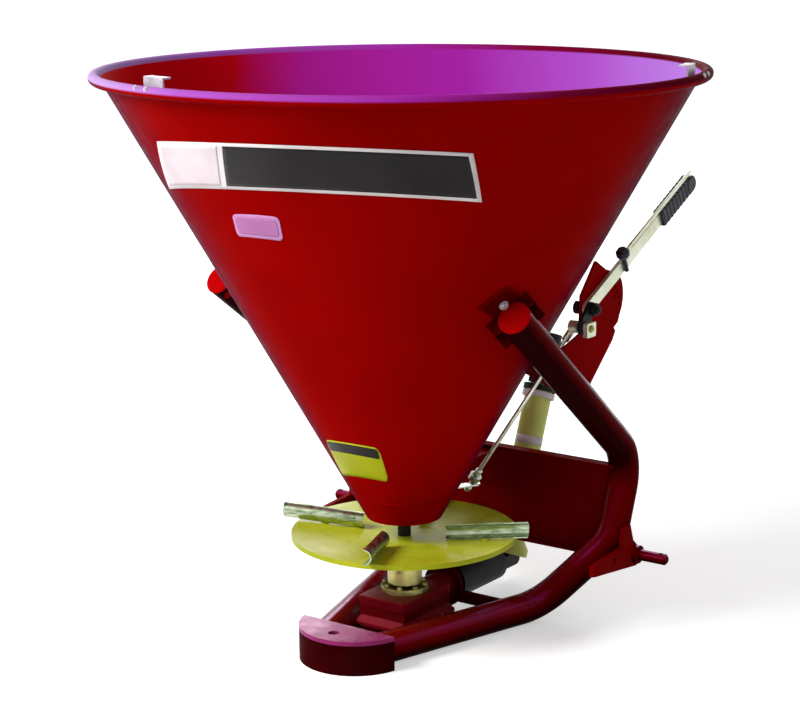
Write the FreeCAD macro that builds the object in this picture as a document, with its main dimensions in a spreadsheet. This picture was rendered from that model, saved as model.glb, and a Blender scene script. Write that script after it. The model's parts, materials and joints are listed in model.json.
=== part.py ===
"""Cone broadcast spreader for a tractor's three-point hitch, in millimetres.

+X points forwards, to the tractor, +Y to the left and +Z up. The origin is on the ground below the
axis that the hopper and the spinning disc share.
"""
import FreeCAD, Part
import math
import os
import Sketcher

V = FreeCAD.Vector
doc = FreeCAD.newDocument("broadcast_spreader")
sheet = doc.addObject("Spreadsheet::Sheet", "sizes")

# name, value, what it is
SIZES = [
    # hopper
    ("hopper_r", 552.0, "outside radius of the cone at the height of its lip"),
    ("hopper_top", 1090.0, "height of the lip above the ground"),
    ("skirt_r", 72.5, "outside radius at the lower end of the cone"),
    ("skirt_z", 236.0, "height of the lower end of the cone"),
    ("hopper_wall", 2.0, "sheet thickness of the cone"),
    ("curl_r", 10.0, "radius of the wired edge, the lip rolled round a wire"),
    ("floor_z", 284.0, "underside of the hopper floor"),
    ("floor_t", 3.0, "thickness of the hopper floor"),
    ("boss_r", 18.0, "outside radius of the floor's centre boss"),
    ("boss_bore", 15.0, "bore of the floor's centre boss"),
    ("outlet_r0", 34.0, "inner radius of the outlets"),
    ("outlet_r1", 72.0, "outer radius of the outlets"),
    ("outlet_sweep", 15.0, "angle that an outlet spans, in degrees"),
    ("outlet_step", 34.0, "angle from one outlet to the next, in degrees"),
    ("clip_sweep", 6.0, "angle that a rim clip spans, in degrees"),
    ("clip_t", 3.0, "thickness of a rim clip"),
    ("clip_rise", 14.0, "height of a rim clip above the lip"),
    ("clip_tab", 18.0, "reach of a rim clip's tab into the hopper"),
    # shutter
    ("shutter_t", 3.0, "thickness of the shutter plate"),
    ("shutter_gap", 1.5, "gap between the shutter plate and the floor"),
    ("shutter_r", 82.0, "outside radius of the shutter plate"),
    ("shutter_fit", 0.3, "radial clearance of the shutter on its boss"),
    ("shutter_turn", -29.8, "direction of the shutter's arm when closed, in degrees"),
    ("eye_r", 151.0, "radius from the axis to the rod's swivel on the shutter arm"),
    ("eye_z", 292.0, "height of the rod's swivel"),
    ("shutter_arm_w", 20.0, "width of the shutter arm"),
    ("slot_side", 17.0, "angle of the cone's slot past the arm on the closed side"),
    ("slot_span", 48.0, "angle that the slot spans"),
    ("slot_h", 16.0, "height of the slot"),
    # spinner
    ("disc_r", 217.0, "outside radius of the spinner disc"),
    ("disc_top", 206.0, "height of the disc's rim"),
    ("disc_dish", 10.0, "depth of the disc below its rim"),
    ("disc_flat_r", 70.0, "radius at which the disc starts to rise"),
    ("disc_t", 2.5, "sheet thickness of the disc"),
    ("disc_lip", 9.5, "height of the disc's turned-down edge"),
    ("shaft_r", 12.5, "radius of the spinner shaft"),
    ("hub_gap", 5.0, "gap between the gearbox cap and the turning hub"),
    ("vane_n", 4.0, "number of vanes"),
    ("vane_start", 84.0, "radius at which a vane starts"),
    ("vane_end", 243.0, "radius at which a vane ends"),
    ("seat_r", 7.0, "radius of a vane's raised seat on the disc"),
    ("vane_r", 15.5, "outside radius of a vane's round back"),
    ("vane_t", 2.0, "sheet thickness of a vane"),
    ("vane_z", 213.0, "height of a vane's middle line at its inner end"),
    ("vane_rise", 14.0, "rise of a vane from its inner end to its tip"),
    ("vane_set", 26.0, "distance of a vane's middle line from the disc's axis"),
    ("vane_turn", 24.0, "angle from +Y to the first vane"),
    ("hub_r", 33.0, "radius of the spinner hub"),
    ("hub_flange_r", 60.0, "radius of the hub's flange below the disc"),
    ("hub_flange_t", 6.0, "thickness of the hub's flange"),
    # gearbox
    ("gear_l", 150.0, "length of the gearbox body"),
    ("gear_w", 104.0, "width of the gearbox body"),
    ("gear_z0", 28.0, "underside of the gearbox"),
    ("gear_z1", 86.0, "top of the gearbox"),
    ("base_t", 8.0, "thickness of the plate under the gearbox"),
    ("input_z", 58.0, "height of the input shaft"),
    ("neck_r", 30.0, "radius of the input neck"),
    ("neck_end", 168.0, "end of the input neck"),
    ("input_r", 17.4, "radius of the input shaft"),
    ("cap_r", 46.0, "radius of the gearbox's top cap"),
    ("cap_t", 12.0, "thickness of the gearbox's top cap"),
    ("joint_x", 352.0, "centre of the drive shaft's universal joint"),
    ("shield_r", 37.0, "radius of the input shield"),
    ("shield_end", 306.0, "front end of the input shield"),
    ("shield_t", 3.0, "wall of the input shield"),
    # frame tubes
    ("tube_r", 30.0, "outside radius of the frame tube"),
    ("tube_wall", 3.0, "wall of the frame tube"),
    ("bend_r", 90.0, "bend radius at the tube's centre line"),
    ("arm_end_x", -132.0, "rear end of an arm"),
    ("arm_gap", 1.26095, "gap between the cone and an arm's rear end"),
    ("arm_end_z", 681.0, "height of an arm's rear end"),
    ("shoulder_x", 336.0, "upper bend of the frame tube"),
    ("shoulder_y", 298.0, "distance of the upper bend from the middle plane"),
    ("shoulder_z", 323.0, "height of the upper bend"),
    ("hip_x", 282.0, "middle bend of the frame tube"),
    ("hip_y", 295.0, "distance of the middle bend from the middle plane"),
    ("hip_z", 166.0, "height of the middle bend"),
    ("toe_x", 209.0, "front end of a lower rail"),
    ("toe_y", 176.0, "distance of a rail's front end from the middle plane"),
    ("heel_x", -185.0, "rear end of a lower rail"),
    ("heel_y", 59.0, "distance of a rail's rear end from the middle plane"),
    # nose
    ("nose_x", -156.0, "centre of the nose's round end"),
    ("nose_r", 108.0, "radius of the nose"),
    ("nose_t", 8.0, "thickness of the nose plates"),
    ("nose_sink", 2.0, "depth to which the nose's top plate is let into the rails"),
    ("nose_front_x", -180.0, "front edge of the nose's top plate"),
    ("foot_front_x", -197.0, "front edge of the nose's foot plate"),
    ("tow_x", -226.0, "centre of the towing hole"),
    ("tow_bore", 10.5, "radius of the towing hole"),
    ("skin_t", 6.0, "thickness of the nose's skirt"),
    # cross panel
    ("panel_x", 308.0, "front face of the cross panel"),
    ("panel_t", 4.0, "sheet thickness of the cross panel"),
    ("panel_z0", 126.0, "lower edge of the cross panel"),
    ("panel_z1", 314.0, "upper edge of the cross panel"),
    ("panel_lip", 30.0, "depth of the cross panel's flanges"),
    # hitch
    ("cheek_y", 328.0, "middle of a hitch cheek plate"),
    ("cheek_t", 10.0, "thickness of a hitch cheek plate"),
    ("cheek_tail", 150.0, "rear end of a hitch cheek plate"),
    ("lug_r", 24.0, "radius of a hitch cheek's lug round its pin"),
    ("link_x", 310.0, "lower link pins, forward of the axis"),
    ("link_z", 135.0, "height of the lower link pins"),
    ("link_r", 11.0, "radius of the lower link pins"),
    ("link_tip", 402.0, "tip of a lower link pin from the middle plane"),
    ("collar_r", 18.0, "radius of a link pin's collar"),
    ("collar_t", 8.5, "thickness of a link pin's collar"),
    ("cheek_hole", 9.0, "radius of the spare hole in a cheek plate"),
    # mast
    ("mast_gap", 52.0, "space between the mast's two ears"),
    ("mast_t", 10.0, "thickness of a mast ear"),
    ("mast_x", 318.0, "top link hole, forward of the axis"),
    ("mast_z", 595.0, "height of the top link hole"),
    ("mast_w", 56.0, "width of a mast ear at its head"),
    ("mast_foot", 70.0, "width of a mast ear at its foot"),
    ("saddle_z0", 462.0, "height of the lower edge of the mast's saddle plate"),
    ("saddle_z1", 604.0, "height of the upper edge of the mast's saddle plate"),
    ("saddle_t", 5.0, "thickness of the mast's saddle plate"),
    ("saddle_sweep", 36.0, "angle that the saddle plate spans round the cone, in degrees"),
    ("ear_inset", 12.0, "setback of a mast ear from the saddle's edges"),
    ("stay_x", 98.0, "where a mast stay meets the arm"),
    ("stay_back", 22.0, "setback of a mast stay behind the top link hole"),
    ("stay_drop", 74.0, "height of the top link hole above a mast stay"),
    ("top_bore", 9.75, "radius of the top link hole"),
    ("stay_w", 40.0, "width of a mast stay"),
    ("stay_t", 8.0, "thickness of a mast stay"),
    # lever
    ("plate_y", -315.0, "outer face of the quadrant plate"),
    ("plate_t", 6.0, "thickness of the quadrant plate"),
    ("pivot_x", 134.0, "lever pivot, forward of the axis"),
    ("pivot_z", 652.0, "height of the lever pivot"),
    ("pivot_r", 7.0, "radius of the lever's pivot bolt"),
    ("sector_r", 62.0, "radius of the quadrant's rounded edge"),
    ("stop_r", 3.5, "radius of the quadrant's stop holes"),
    ("lever_t", 8.0, "thickness of the lever bar"),
    ("lever_w", 24.0, "width of the lever bar"),
    ("lever_gap", 2.0, "washer between the lever and the quadrant"),
    ("lever_len", 318.0, "length of the lever bar from its pivot"),
    ("lever_angle", 26.2, "rest angle of the lever above the horizontal"),
    ("grip_len", 132.0, "length of the grip"),
    ("grip_w", 30.0, "width of the grip"),
    ("grip_t", 20.0, "thickness of the grip"),
    ("knob_r", 13.0, "radius of the latch knob"),
    ("crank_len", 42.0, "distance of the rod's pin from the lever pivot"),
    ("crank_angle", 225.0, "direction of the rod's pin from the pivot, in degrees from +X"),
    ("crank_t", 6.0, "thickness of the crank"),
    ("crank_w", 26.0, "width of the crank"),
    ("ball_r", 8.0, "radius of the ball that the rod's upper end turns on"),
    ("ball_gap", 14.0, "distance of the ball from the crank's face"),
    ("eye_bore", 8.0, "bore of the shutter arm's eye, loose on the rod"),
    ("rod_r", 4.0, "radius of the control rod"),
    # drive shaft
    ("drive_lean", 22.2, "lean of the stowed drive shaft from the vertical, in degrees"),
    ("guard_r", 28.0, "radius of the outer guard tube"),
    ("guard_t", 2.0, "wall of the guard tubes"),
    ("guard_gap", 2.0, "gap between the two guard tubes"),
    ("bell_r", 46.0, "radius of a guard's bell"),
    ("bell_start", 5.0, "distance from the joint to the mouth of the lower bell"),
    ("bell_end", 52.0, "distance from the joint to the narrow end of the lower bell"),
    ("guard_clear", 32.0, "distance from the upper end of the guard to the tractor's joint"),
    ("bar_r", 12.0, "radius of the inner drive bar"),
    ("fork_hub_r", 19.0, "radius of a drive shaft fork's hub"),
    ("fork_w", 26.0, "width of a fork's ears"),
    ("fork_t", 8.0, "thickness of a fork's ears"),
    ("fork_gap", 44.0, "space between a fork's ears"),
    ("cross_r", 7.5, "radius of a joint cross's pins"),
    ("pin_fit", 0.05, "radial clearance of the lower cross in the input fork"),
    ("tractor_joint", 394.0, "distance between the two joints of the drive shaft"),
    ("yoke_len", 78.0, "distance from the tractor's joint to the open end of its yoke"),
]


class Size:
    """A length that carries its number and the sheet expression behind it."""

    def __init__(self, value, text):
        self.value = float(value)
        self.text = text

    def __add__(self, other):
        other = as_size(other)
        return Size(self.value + other.value, "(%s + %s)" % (self.text, other.text))

    def __sub__(self, other):
        other = as_size(other)
        return Size(self.value - other.value, "(%s - %s)" % (self.text, other.text))

    def __mul__(self, other):
        other = as_size(other)
        return Size(self.value * other.value, "(%s * %s)" % (self.text, other.text))

    def __truediv__(self, other):
        other = as_size(other)
        return Size(self.value / other.value, "(%s / %s)" % (self.text, other.text))

    def __neg__(self):
        return Size(-self.value, "(-1 * %s)" % self.text)

    def __radd__(self, other):
        return as_size(other) + self

    def __rsub__(self, other):
        return as_size(other) - self

    def __rmul__(self, other):
        return as_size(other) * self

    def __rtruediv__(self, other):
        return as_size(other) / self

    def __float__(self):
        return self.value


def as_size(number):
    """The number itself if it is a size, or a size without a name."""
    return number if isinstance(number, Size) else Size(number, "%.12g" % number)


def root(size):
    return Size(math.sqrt(size.value), "sqrt(%s)" % size.text)


def cosine(size):
    return Size(math.cos(math.radians(float(size))), "cos(%s)" % as_size(size).text)


def sine(size):
    return Size(math.sin(math.radians(float(size))), "sin(%s)" % as_size(size).text)


class Cells:
    """Gives each cell of the sheet as a size."""

    def __getattr__(self, name):
        return Size(sheet.get(name), "sizes." + name)


def fill_sheet():
    for row, (name, value, meaning) in enumerate(SIZES, 1):
        sheet.set("A%d" % row, meaning)
        sheet.set("B%d" % row, "%g" % value)
        sheet.setAlias("B%d" % row, name)
    doc.recompute()


fill_sheet()
c = Cells()


# ---- sketches and features ----

class Circle:
    def __init__(self, x, y, r):
        self.x, self.y, self.r = as_size(x), as_size(y), as_size(r)


class Corner:
    """A corner of an outline. With a bow, the edge that starts here is an arc of that radius,
    counterclockwise if turn is 1 and clockwise if it is -1; wide picks the longer arc."""

    def __init__(self, x, y, bow=None, turn=1, wide=False):
        self.x, self.y = as_size(x), as_size(y)
        self.bow = None if bow is None else as_size(bow)
        self.turn, self.wide = turn, wide

    def point(self):
        return V(self.x.value, self.y.value, 0)


def new_body(label):
    body = doc.addObject("PartDesign::Body", label)
    body.Label = label
    return body


def bind(sketch, kind, geometry, position, size):
    """Ties a coordinate of a point, or a radius when position is None, to a size."""
    args = [kind, geometry] + ([] if position is None else [position]) + [size.value]
    index = sketch.addConstraint(Sketcher.Constraint(*args))
    if "sizes." in size.text:
        sketch.setExpression("Constraints[%d]" % index, size.text)


def arc_between(start, end):
    """The arc from one corner to the next, as a counterclockwise circle arc."""
    p, q = start.point(), end.point()
    if start.turn < 0:
        p, q = q, p
    chord = q - p
    reach = math.sqrt(max(start.bow.value ** 2 - chord.Length ** 2 / 4, 0))
    normal = V(-chord.y, chord.x, 0).normalize()
    centre = (p + q) * 0.5 + normal * (-reach if start.wide else reach)
    angles = [math.atan2(r.y - centre.y, r.x - centre.x) for r in (p, q)]
    return Part.ArcOfCircle(Part.Circle(centre, V(0, 0, 1), start.bow.value), *angles)


def bind_bow(sketch, geometry, start, end):
    """Ties an arc's radius, or the centre of a half circle, whose radius its ends already give."""
    chord = end.point() - start.point()
    if 2 * start.bow.value - chord.Length > 1e-6:
        bind(sketch, "Radius", geometry, None, start.bow)
    elif abs(chord.y) > abs(chord.x):
        bind(sketch, "DistanceX", geometry, 3, (start.x + end.x) / 2)
    else:
        bind(sketch, "DistanceY", geometry, 3, (start.y + end.y) / 2)


def add_outline(sketch, corners):
    first = sketch.GeometryCount
    count = len(corners)
    for i, corner in enumerate(corners):
        after = corners[(i + 1) % count]
        if corner.bow is None:
            sketch.addGeometry(Part.LineSegment(corner.point(), after.point()), False)
        else:
            sketch.addGeometry(arc_between(corner, after), False)
    ends = [(2, 1) if k.bow is not None and k.turn < 0 else (1, 2) for k in corners]
    for i, corner in enumerate(corners):
        after = (i + 1) % count
        sketch.addConstraint(
            Sketcher.Constraint("Coincident", first + i, ends[i][1], first + after, ends[after][0]))
        bind(sketch, "DistanceX", first + i, ends[i][0], corner.x)
        bind(sketch, "DistanceY", first + i, ends[i][0], corner.y)
        if corner.bow is not None:
            bind_bow(sketch, first + i, corner, corners[(i + 1) % count])


def add_circle(sketch, circle):
    index = sketch.GeometryCount
    sketch.addGeometry(
        Part.Circle(V(circle.x.value, circle.y.value, 0), V(0, 0, 1), circle.r.value), False)
    bind(sketch, "DistanceX", index, 3, circle.x)
    bind(sketch, "DistanceY", index, 3, circle.y)
    bind(sketch, "Radius", index, None, circle.r)


def draw(body, plane, loops, lift=None):
    """A sketch of closed loops on one of the body's own planes, moved along its normal by lift."""
    sketch = body.newObject("Sketcher::SketchObject", body.Name + "_sketch")
    role = plane + "_Plane"
    support = [o for o in body.Origin.OriginFeatures if o.Role == role][0]
    sketch.AttachmentSupport = (support, [""])
    sketch.MapMode = "FlatFace"
    if lift is not None:
        sketch.setExpression(".AttachmentOffset.Base.z", as_size(lift).text)
    for loop in loops:
        if isinstance(loop, Circle):
            add_circle(sketch, loop)
        else:
            add_outline(sketch, [k if isinstance(k, Corner) else Corner(*k) for k in loop])
    return sketch


def pad(body, plane, loops, length, symmetric=True, lift=None):
    feature = body.newObject("PartDesign::Pad", body.Name + "_pad")
    feature.Profile = draw(body, plane, loops, lift)
    feature.SideType = "Symmetric" if symmetric else "One side"
    feature.setExpression("Length", as_size(length).text)
    body.Tip = feature
    return feature


def pocket(body, plane, loops, length=None, lift=None, reverse=False):
    """Cuts the loops right through, or to a depth when a length is given."""
    feature = body.newObject("PartDesign::Pocket", body.Name + "_pocket")
    feature.Profile = draw(body, plane, loops, lift)
    if length is None:
        feature.SideType = "Symmetric"
        feature.Type = "ThroughAll"
    else:
        feature.SideType = "One side"
        feature.Reversed = reverse
        feature.setExpression("Length", as_size(length).text)
    body.Tip = feature
    return feature


def revolve(body, loops, groove=False):
    """Turns loops drawn as radius and height round the body's Z axis."""
    kind = "Groove" if groove else "Revolution"
    feature = body.newObject("PartDesign::" + kind, body.Name + "_turned")
    sketch = draw(body, "XZ", loops)
    feature.Profile = sketch
    feature.ReferenceAxis = (sketch, ["V_Axis"])
    feature.Angle = 360
    body.Tip = feature
    return feature


def repeat(body, feature, count):
    """Repeats a feature evenly round the body's Z axis."""
    pattern = body.newObject("PartDesign::PolarPattern", body.Name + "_pattern")
    axis = [o for o in body.Origin.OriginFeatures if o.Role == "Z_Axis"][0]
    pattern.Originals = [feature]
    pattern.Axis = (axis, [""])
    pattern.Angle = 360
    pattern.setExpression("Occurrences", as_size(count).text)
    body.Tip = pattern
    return pattern


def place(piece, x=0, y=0, z=0, axis=None, angle=None):
    """Puts a piece at x, y, z, turned about an axis by an angle."""
    if axis is not None:
        piece.Placement = FreeCAD.Placement(V(0, 0, 0), FreeCAD.Rotation(axis, float(angle)))
        if isinstance(angle, Size):
            piece.setExpression(".Placement.Rotation.Angle", angle.text)
    for name, size in (("x", x), ("y", y), ("z", z)):
        piece.setExpression(".Placement.Base." + name, as_size(size).text)
    return piece


def turned(label, corners):
    body = new_body(label)
    revolve(body, [corners])
    return body


def ring(label, bore, radius, z0, z1):
    """A plain tube or washer round Z; a bore of None gives a solid rod."""
    inner = 0 if bore is None else bore
    return turned(label, [(inner, z0), (radius, z0), (radius, z1), (inner, z1)])


def solid_from(label, shape):
    """A sub-part whose shape comes from Part's own functions."""
    piece = doc.addObject("Part::Feature", label)
    piece.Label = label
    piece.Shape = shape
    return piece


def cut_by(label, base, tools):
    """The base object less the shapes of other sub-parts that it is coped round."""
    result = base
    for index, tool in enumerate(tools):
        cut = doc.addObject("Part::Cut", "%s_cut%d" % (label, index))
        cut.Base, cut.Tool = result, tool
        result = cut
    result.Label = label
    return result


# ---- derived sizes ----

SIDES = (("left", 1), ("right", -1))

slope = (c.hopper_r - c.skirt_r) / (c.hopper_top - c.skirt_z)
slant = root(1 + slope * slope)
CLIP_TURNS = (166, -74)


def cone_outside(height):
    """Outside radius of the hopper's cone at a height."""
    return c.skirt_r + slope * (height - c.skirt_z)


def cone_inside(height):
    return cone_outside(height) - c.hopper_wall * slant


shutter_top = c.floor_z - c.shutter_gap
shutter_base = shutter_top - c.shutter_t
crank_x = c.crank_len * cosine(c.crank_angle)
crank_z = c.crank_len * sine(c.crank_angle)
arm_reach = cone_outside(c.arm_end_z) + (c.tube_r + c.arm_gap) * slant
arm_end_y = root(arm_reach * arm_reach - c.arm_end_x * c.arm_end_x)
guard_end = c.tractor_joint - c.guard_clear
lever_face = c.plate_y - c.lever_gap
crank_face = lever_face - c.lever_t


# ---- hopper ----

def hopper():
    """The sheet cone with its wired edge, and the slot that the shutter's arm comes out of."""
    body = new_body("hopper")
    centre_z = c.hopper_top - c.curl_r
    centre_r = cone_inside(centre_z) + c.curl_r * slant
    # the cone's outside runs into the round edge where it crosses the circle
    depth = c.curl_r - c.hopper_wall
    chord = root(c.curl_r * c.curl_r - depth * depth)
    revolve(body, [[
        Corner(cone_inside(c.skirt_z), c.skirt_z),
        Corner(c.skirt_r, c.skirt_z),
        Corner(centre_r - (depth + chord * slope) / slant, centre_z + (depth * slope - chord) / slant,
               c.curl_r, 1, True),
        Corner(centre_r - c.curl_r / slant, centre_z + c.curl_r * slope / slant),
    ]])
    reach = cone_outside(c.floor_z)
    first = c.shutter_turn + c.slot_side
    last = first - c.slot_span
    near, far = reach - 20, reach + 20
    pocket(body, "XY", [[
        Corner(near * cosine(last), near * sine(last)),
        Corner(far * cosine(last), far * sine(last), far),
        Corner(far * cosine(first), far * sine(first)),
        Corner(near * cosine(first), near * sine(first), near, -1),
    ]], c.slot_h, c.floor_z)
    return body


def outlet_loops(turn):
    """The outlets, side by side across the rear, turned by an angle."""
    loops = []
    for place_in_row in (-1, 0, 1):
        middle = 180 + turn + c.outlet_step * place_in_row
        first, last = middle - c.outlet_sweep / 2, middle + c.outlet_sweep / 2
        loops.append([
            Corner(c.outlet_r0 * cosine(first), c.outlet_r0 * sine(first)),
            Corner(c.outlet_r1 * cosine(first), c.outlet_r1 * sine(first), c.outlet_r1),
            Corner(c.outlet_r1 * cosine(last), c.outlet_r1 * sine(last)),
            Corner(c.outlet_r0 * cosine(last), c.outlet_r0 * sine(last), c.outlet_r0, -1),
        ])
    return loops


def hopper_floor():
    """The flat floor inside the cone, with a centre boss that the shutter turns on."""
    body = new_body("hopper_floor")
    edge = cone_inside(c.floor_z)
    revolve(body, [[
        (c.boss_bore, shutter_base - 1),
        (c.boss_r, shutter_base - 1),
        (c.boss_r, c.floor_z),
        (edge, c.floor_z),
        (edge, c.floor_z + c.floor_t),
        (c.boss_bore, c.floor_z + c.floor_t),
    ]])
    pocket(body, "XY", outlet_loops(as_size(0)))
    return body


def rim_clip(number, turn):
    """A flat clip welded inside the lip; it stands up above the rim and turns inwards."""
    body = new_body("rim_clip_%d" % number)
    base = c.hopper_top - 2 * c.curl_r - 10
    seat_top = c.hopper_top - 2 * c.curl_r
    top = c.hopper_top + c.clip_rise
    back = cone_inside(seat_top)
    thick = c.clip_t * slant
    feature = revolve(body, [[
        (cone_inside(base), base),
        (back, seat_top),
        (back, top),
        (back - c.clip_tab, top),
        (back - c.clip_tab, top - c.clip_t),
        (back - thick, top - c.clip_t),
        (back - thick, seat_top),
        (cone_inside(base) - thick, base),
    ]])
    feature.setExpression("Angle", c.clip_sweep.text)
    return place(body, axis=V(0, 0, 1), angle=turn - c.clip_sweep.value / 2)


# ---- shutter ----

def shutter_plate():
    body = new_body("shutter_plate")
    bore = c.boss_r + c.shutter_fit
    pad(body, "XY", [Circle(0, 0, c.shutter_r), Circle(0, 0, bore)], c.shutter_t, False, shutter_base)
    pocket(body, "XY", outlet_loops(c.outlet_sweep + 2))
    return body


def shutter_arm():
    """A flat bar below the shutter plate that comes out through the cone to an eye on the rod."""
    top, low = rod_ends()
    run = (low - top).normalize()
    start, wide, thick = float(c.shutter_r) - 28, float(c.shutter_arm_w), float(c.shutter_t)
    under = float(shutter_base) - thick
    bar = Part.makeBox(float(c.eye_r) - start, wide, thick, V(start, -wide / 2, under))
    bar.rotate(V(0, 0, 0), V(0, 0, 1), float(c.shutter_turn))
    bore, half = float(c.eye_bore), 5
    eye = Part.makeCylinder(bore + 4, 2 * half, low - run * half, run)
    end = Part.makeCylinder(wide / 2, thick, V(low.x, low.y, under))
    post = Part.makeCylinder(5, low.z - under, V(low.x, low.y, under))
    hole = Part.makeCylinder(bore, 40, low - run * 12, run)
    return solid_from("shutter_arm", bar.fuse([end, post, eye]).cut(hole).removeSplitter())


# ---- spinner ----

def spinner_disc(vanes):
    """The dished disc, with two raised seats below each vane, coped to the vanes' backs."""
    body = new_body("spinner_disc_sheet")
    flat = c.disc_top - c.disc_dish
    revolve(body, [[
        (c.shaft_r, flat - c.disc_t),
        (c.disc_flat_r, flat - c.disc_t),
        (c.disc_r - c.disc_t, c.disc_top - c.disc_t),
        (c.disc_r - c.disc_t, c.disc_top - c.disc_lip),
        (c.disc_r, c.disc_top - c.disc_lip),
        (c.disc_r, c.disc_top),
        (c.disc_flat_r, flat),
        (c.shaft_r, flat),
    ]])
    turn = c.vane_turn
    for radius in (c.vane_start + 14, c.vane_end - 80):
        root_z = flat + c.disc_dish * (radius - c.disc_flat_r) / (c.disc_r - c.disc_flat_r) - 1
        back_z = c.vane_z + c.vane_rise * (radius - c.vane_start) / (c.vane_end - c.vane_start) - c.vane_r
        seat = Circle(radius * cosine(turn) + c.vane_set * sine(turn),
                      radius * sine(turn) - c.vane_set * cosine(turn), c.seat_r)
        repeat(body, pad(body, "XY", [seat], back_z + 1 - root_z, False, root_z), c.vane_n)
    return cut_by("spinner_disc", body, vanes)


def vane(number):
    """A half-round trough on edge, rising outwards, its hollow side facing the way it turns."""
    body = new_body("vane_%d" % number)
    outer, inner = c.vane_r, c.vane_r - c.vane_t
    middle = -c.vane_set
    trough = pad(body, "YZ", [[
        Corner(middle, -outer),
        Corner(middle, -inner, inner, 1),
        Corner(middle, inner),
        Corner(middle, outer, outer, -1),
    ]], c.vane_end - c.vane_start, False, c.vane_start)
    rise = c.vane_rise / (c.vane_end - c.vane_start)
    trough.UseCustomVector = True
    trough.AlongSketchNormal = True
    trough.Direction = V(1, 0, float(rise))
    trough.setExpression("Direction.z", rise.text)
    turn = c.vane_turn + 90 * number
    return place(body, z=c.vane_z, axis=V(0, 0, 1), angle=turn)


def spinner_hub():
    flat = c.disc_top - c.disc_dish - c.disc_t
    base = c.gear_z1 + c.cap_t + c.hub_gap
    return turned("spinner_hub", [
        (c.shaft_r, base),
        (c.hub_r, base),
        (c.hub_r, flat - c.hub_flange_t - 12),
        (c.hub_r - 6, flat - c.hub_flange_t),
        (c.hub_flange_r, flat - c.hub_flange_t),
        (c.hub_flange_r, flat),
        (c.shaft_r, flat),
    ])


def spinner_shaft():
    return ring("spinner_shaft", None, c.shaft_r, c.gear_z1 + 4, c.floor_z + 62)


def agitator():
    """A short finger bar on top of the shaft, inside the hopper."""
    body = new_body("agitator")
    base = c.floor_z + 40
    pad(body, "XY", [Circle(0, 0, c.shaft_r + 8), Circle(0, 0, c.shaft_r)], as_size(16), False, base)
    reach, half = c.shutter_r - 18, as_size(5)
    for side in (1, -1):
        start = (c.shaft_r + 7) * side
        pad(body, "XY", [[
            (start, half * side), (start, -half * side),
            (reach * side, -half * side), (reach * side, half * side),
        ]], as_size(10), False, base + 3)
    return body


# ---- gearbox and input ----

def gearbox():
    body = new_body("gearbox")
    half_l, half_w = c.gear_l / 2, c.gear_w / 2
    pad(body, "XY", [[
        (-half_l, -half_w), (half_l, -half_w), (half_l, half_w), (-half_l, half_w),
    ]], c.gear_z1 - c.gear_z0, False, c.gear_z0)
    pad(body, "YZ", [Circle(0, c.input_z, c.neck_r)], c.neck_end - half_l, False, half_l)
    return body


def gearbox_cap():
    return ring("gearbox_cap", c.shaft_r + 1.5, c.cap_r, c.gear_z1, c.gear_z1 + c.cap_t)


def along_x(body, z):
    """Lays a piece turned round Z along X at a height."""
    return place(body, 0, 0, z, V(0, 1, 0), 90)


def input_shield():
    body = turned("input_shield", [
        (c.neck_r, c.neck_end - 14),
        (c.shield_r, c.neck_end - 14),
        (c.shield_r, c.shield_end),
        (c.shield_r - c.shield_t, c.shield_end),
        (c.shield_r - c.shield_t, c.neck_end - 10),
        (c.neck_r, c.neck_end - 10),
    ])
    return along_x(body, c.input_z)


def input_shaft():
    return along_x(ring("input_shaft", None, c.input_r, c.neck_end, c.neck_end + 112), c.input_z)


def fork(label, bore, hub_r, hub_0, hub_1, pin_at, along, pin_fit=0):
    """A joint fork on a hub round the body's Z axis: two ears across X or Y, bored for the cross."""
    body = new_body(label)
    loops = [Circle(0, 0, hub_r)] + ([] if bore is None else [Circle(0, 0, bore)])
    pad(body, "XY", loops, hub_1 - hub_0, False, hub_0)
    plane = "YZ" if along == "X" else "XZ"
    half = c.fork_w / 2
    sign = 1 if float(pin_at) > float(hub_1) else -1
    seat = hub_1 if sign > 0 else hub_0
    base = c.fork_gap / 2 + c.fork_t
    top_turn = 1 if sign > 0 else -1
    # a bridge across the hub's end, then the two ears
    bridge = seat + sign * c.fork_t
    pad(body, plane, [[
        (-half, seat), (half, seat), (half, bridge), (-half, bridge),
    ]] if sign > 0 else [[
        (-half, bridge), (half, bridge), (half, seat), (-half, seat),
    ]], base * 2)
    for side in (1, -1):
        lift = c.fork_gap / 2 * side if side > 0 else -base
        pad(body, plane, [[
            Corner(half, bridge),
            Corner(half, pin_at, half, top_turn),
            Corner(-half, pin_at),
            Corner(-half, bridge),
        ]], c.fork_t, False, lift)
    pocket(body, plane, [Circle(0, pin_at, c.cross_r + pin_fit)])
    return body


# ---- frame tubes ----

def vector(x, y, z):
    return V(float(x), float(y), float(z))


def tube_points(side):
    """The corners of a side tube's centre line, from the arm's end down to the nose."""
    return [
        vector(c.arm_end_x, arm_end_y * side, c.arm_end_z),
        vector(c.shoulder_x, c.shoulder_y * side, c.shoulder_z),
        vector(c.hip_x, c.hip_y * side, c.hip_z),
        vector(c.toe_x, c.toe_y * side, c.tube_r),
        vector(c.heel_x, c.heel_y * side, c.tube_r),
    ]


def arm_at(x):
    """Distance from the middle plane and height of an arm's centre line at x."""
    share = (x - c.arm_end_x) / (c.shoulder_x - c.arm_end_x)
    return (arm_end_y + (c.shoulder_y - arm_end_y) * share,
            c.arm_end_z + (c.shoulder_z - c.arm_end_z) * share)


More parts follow.
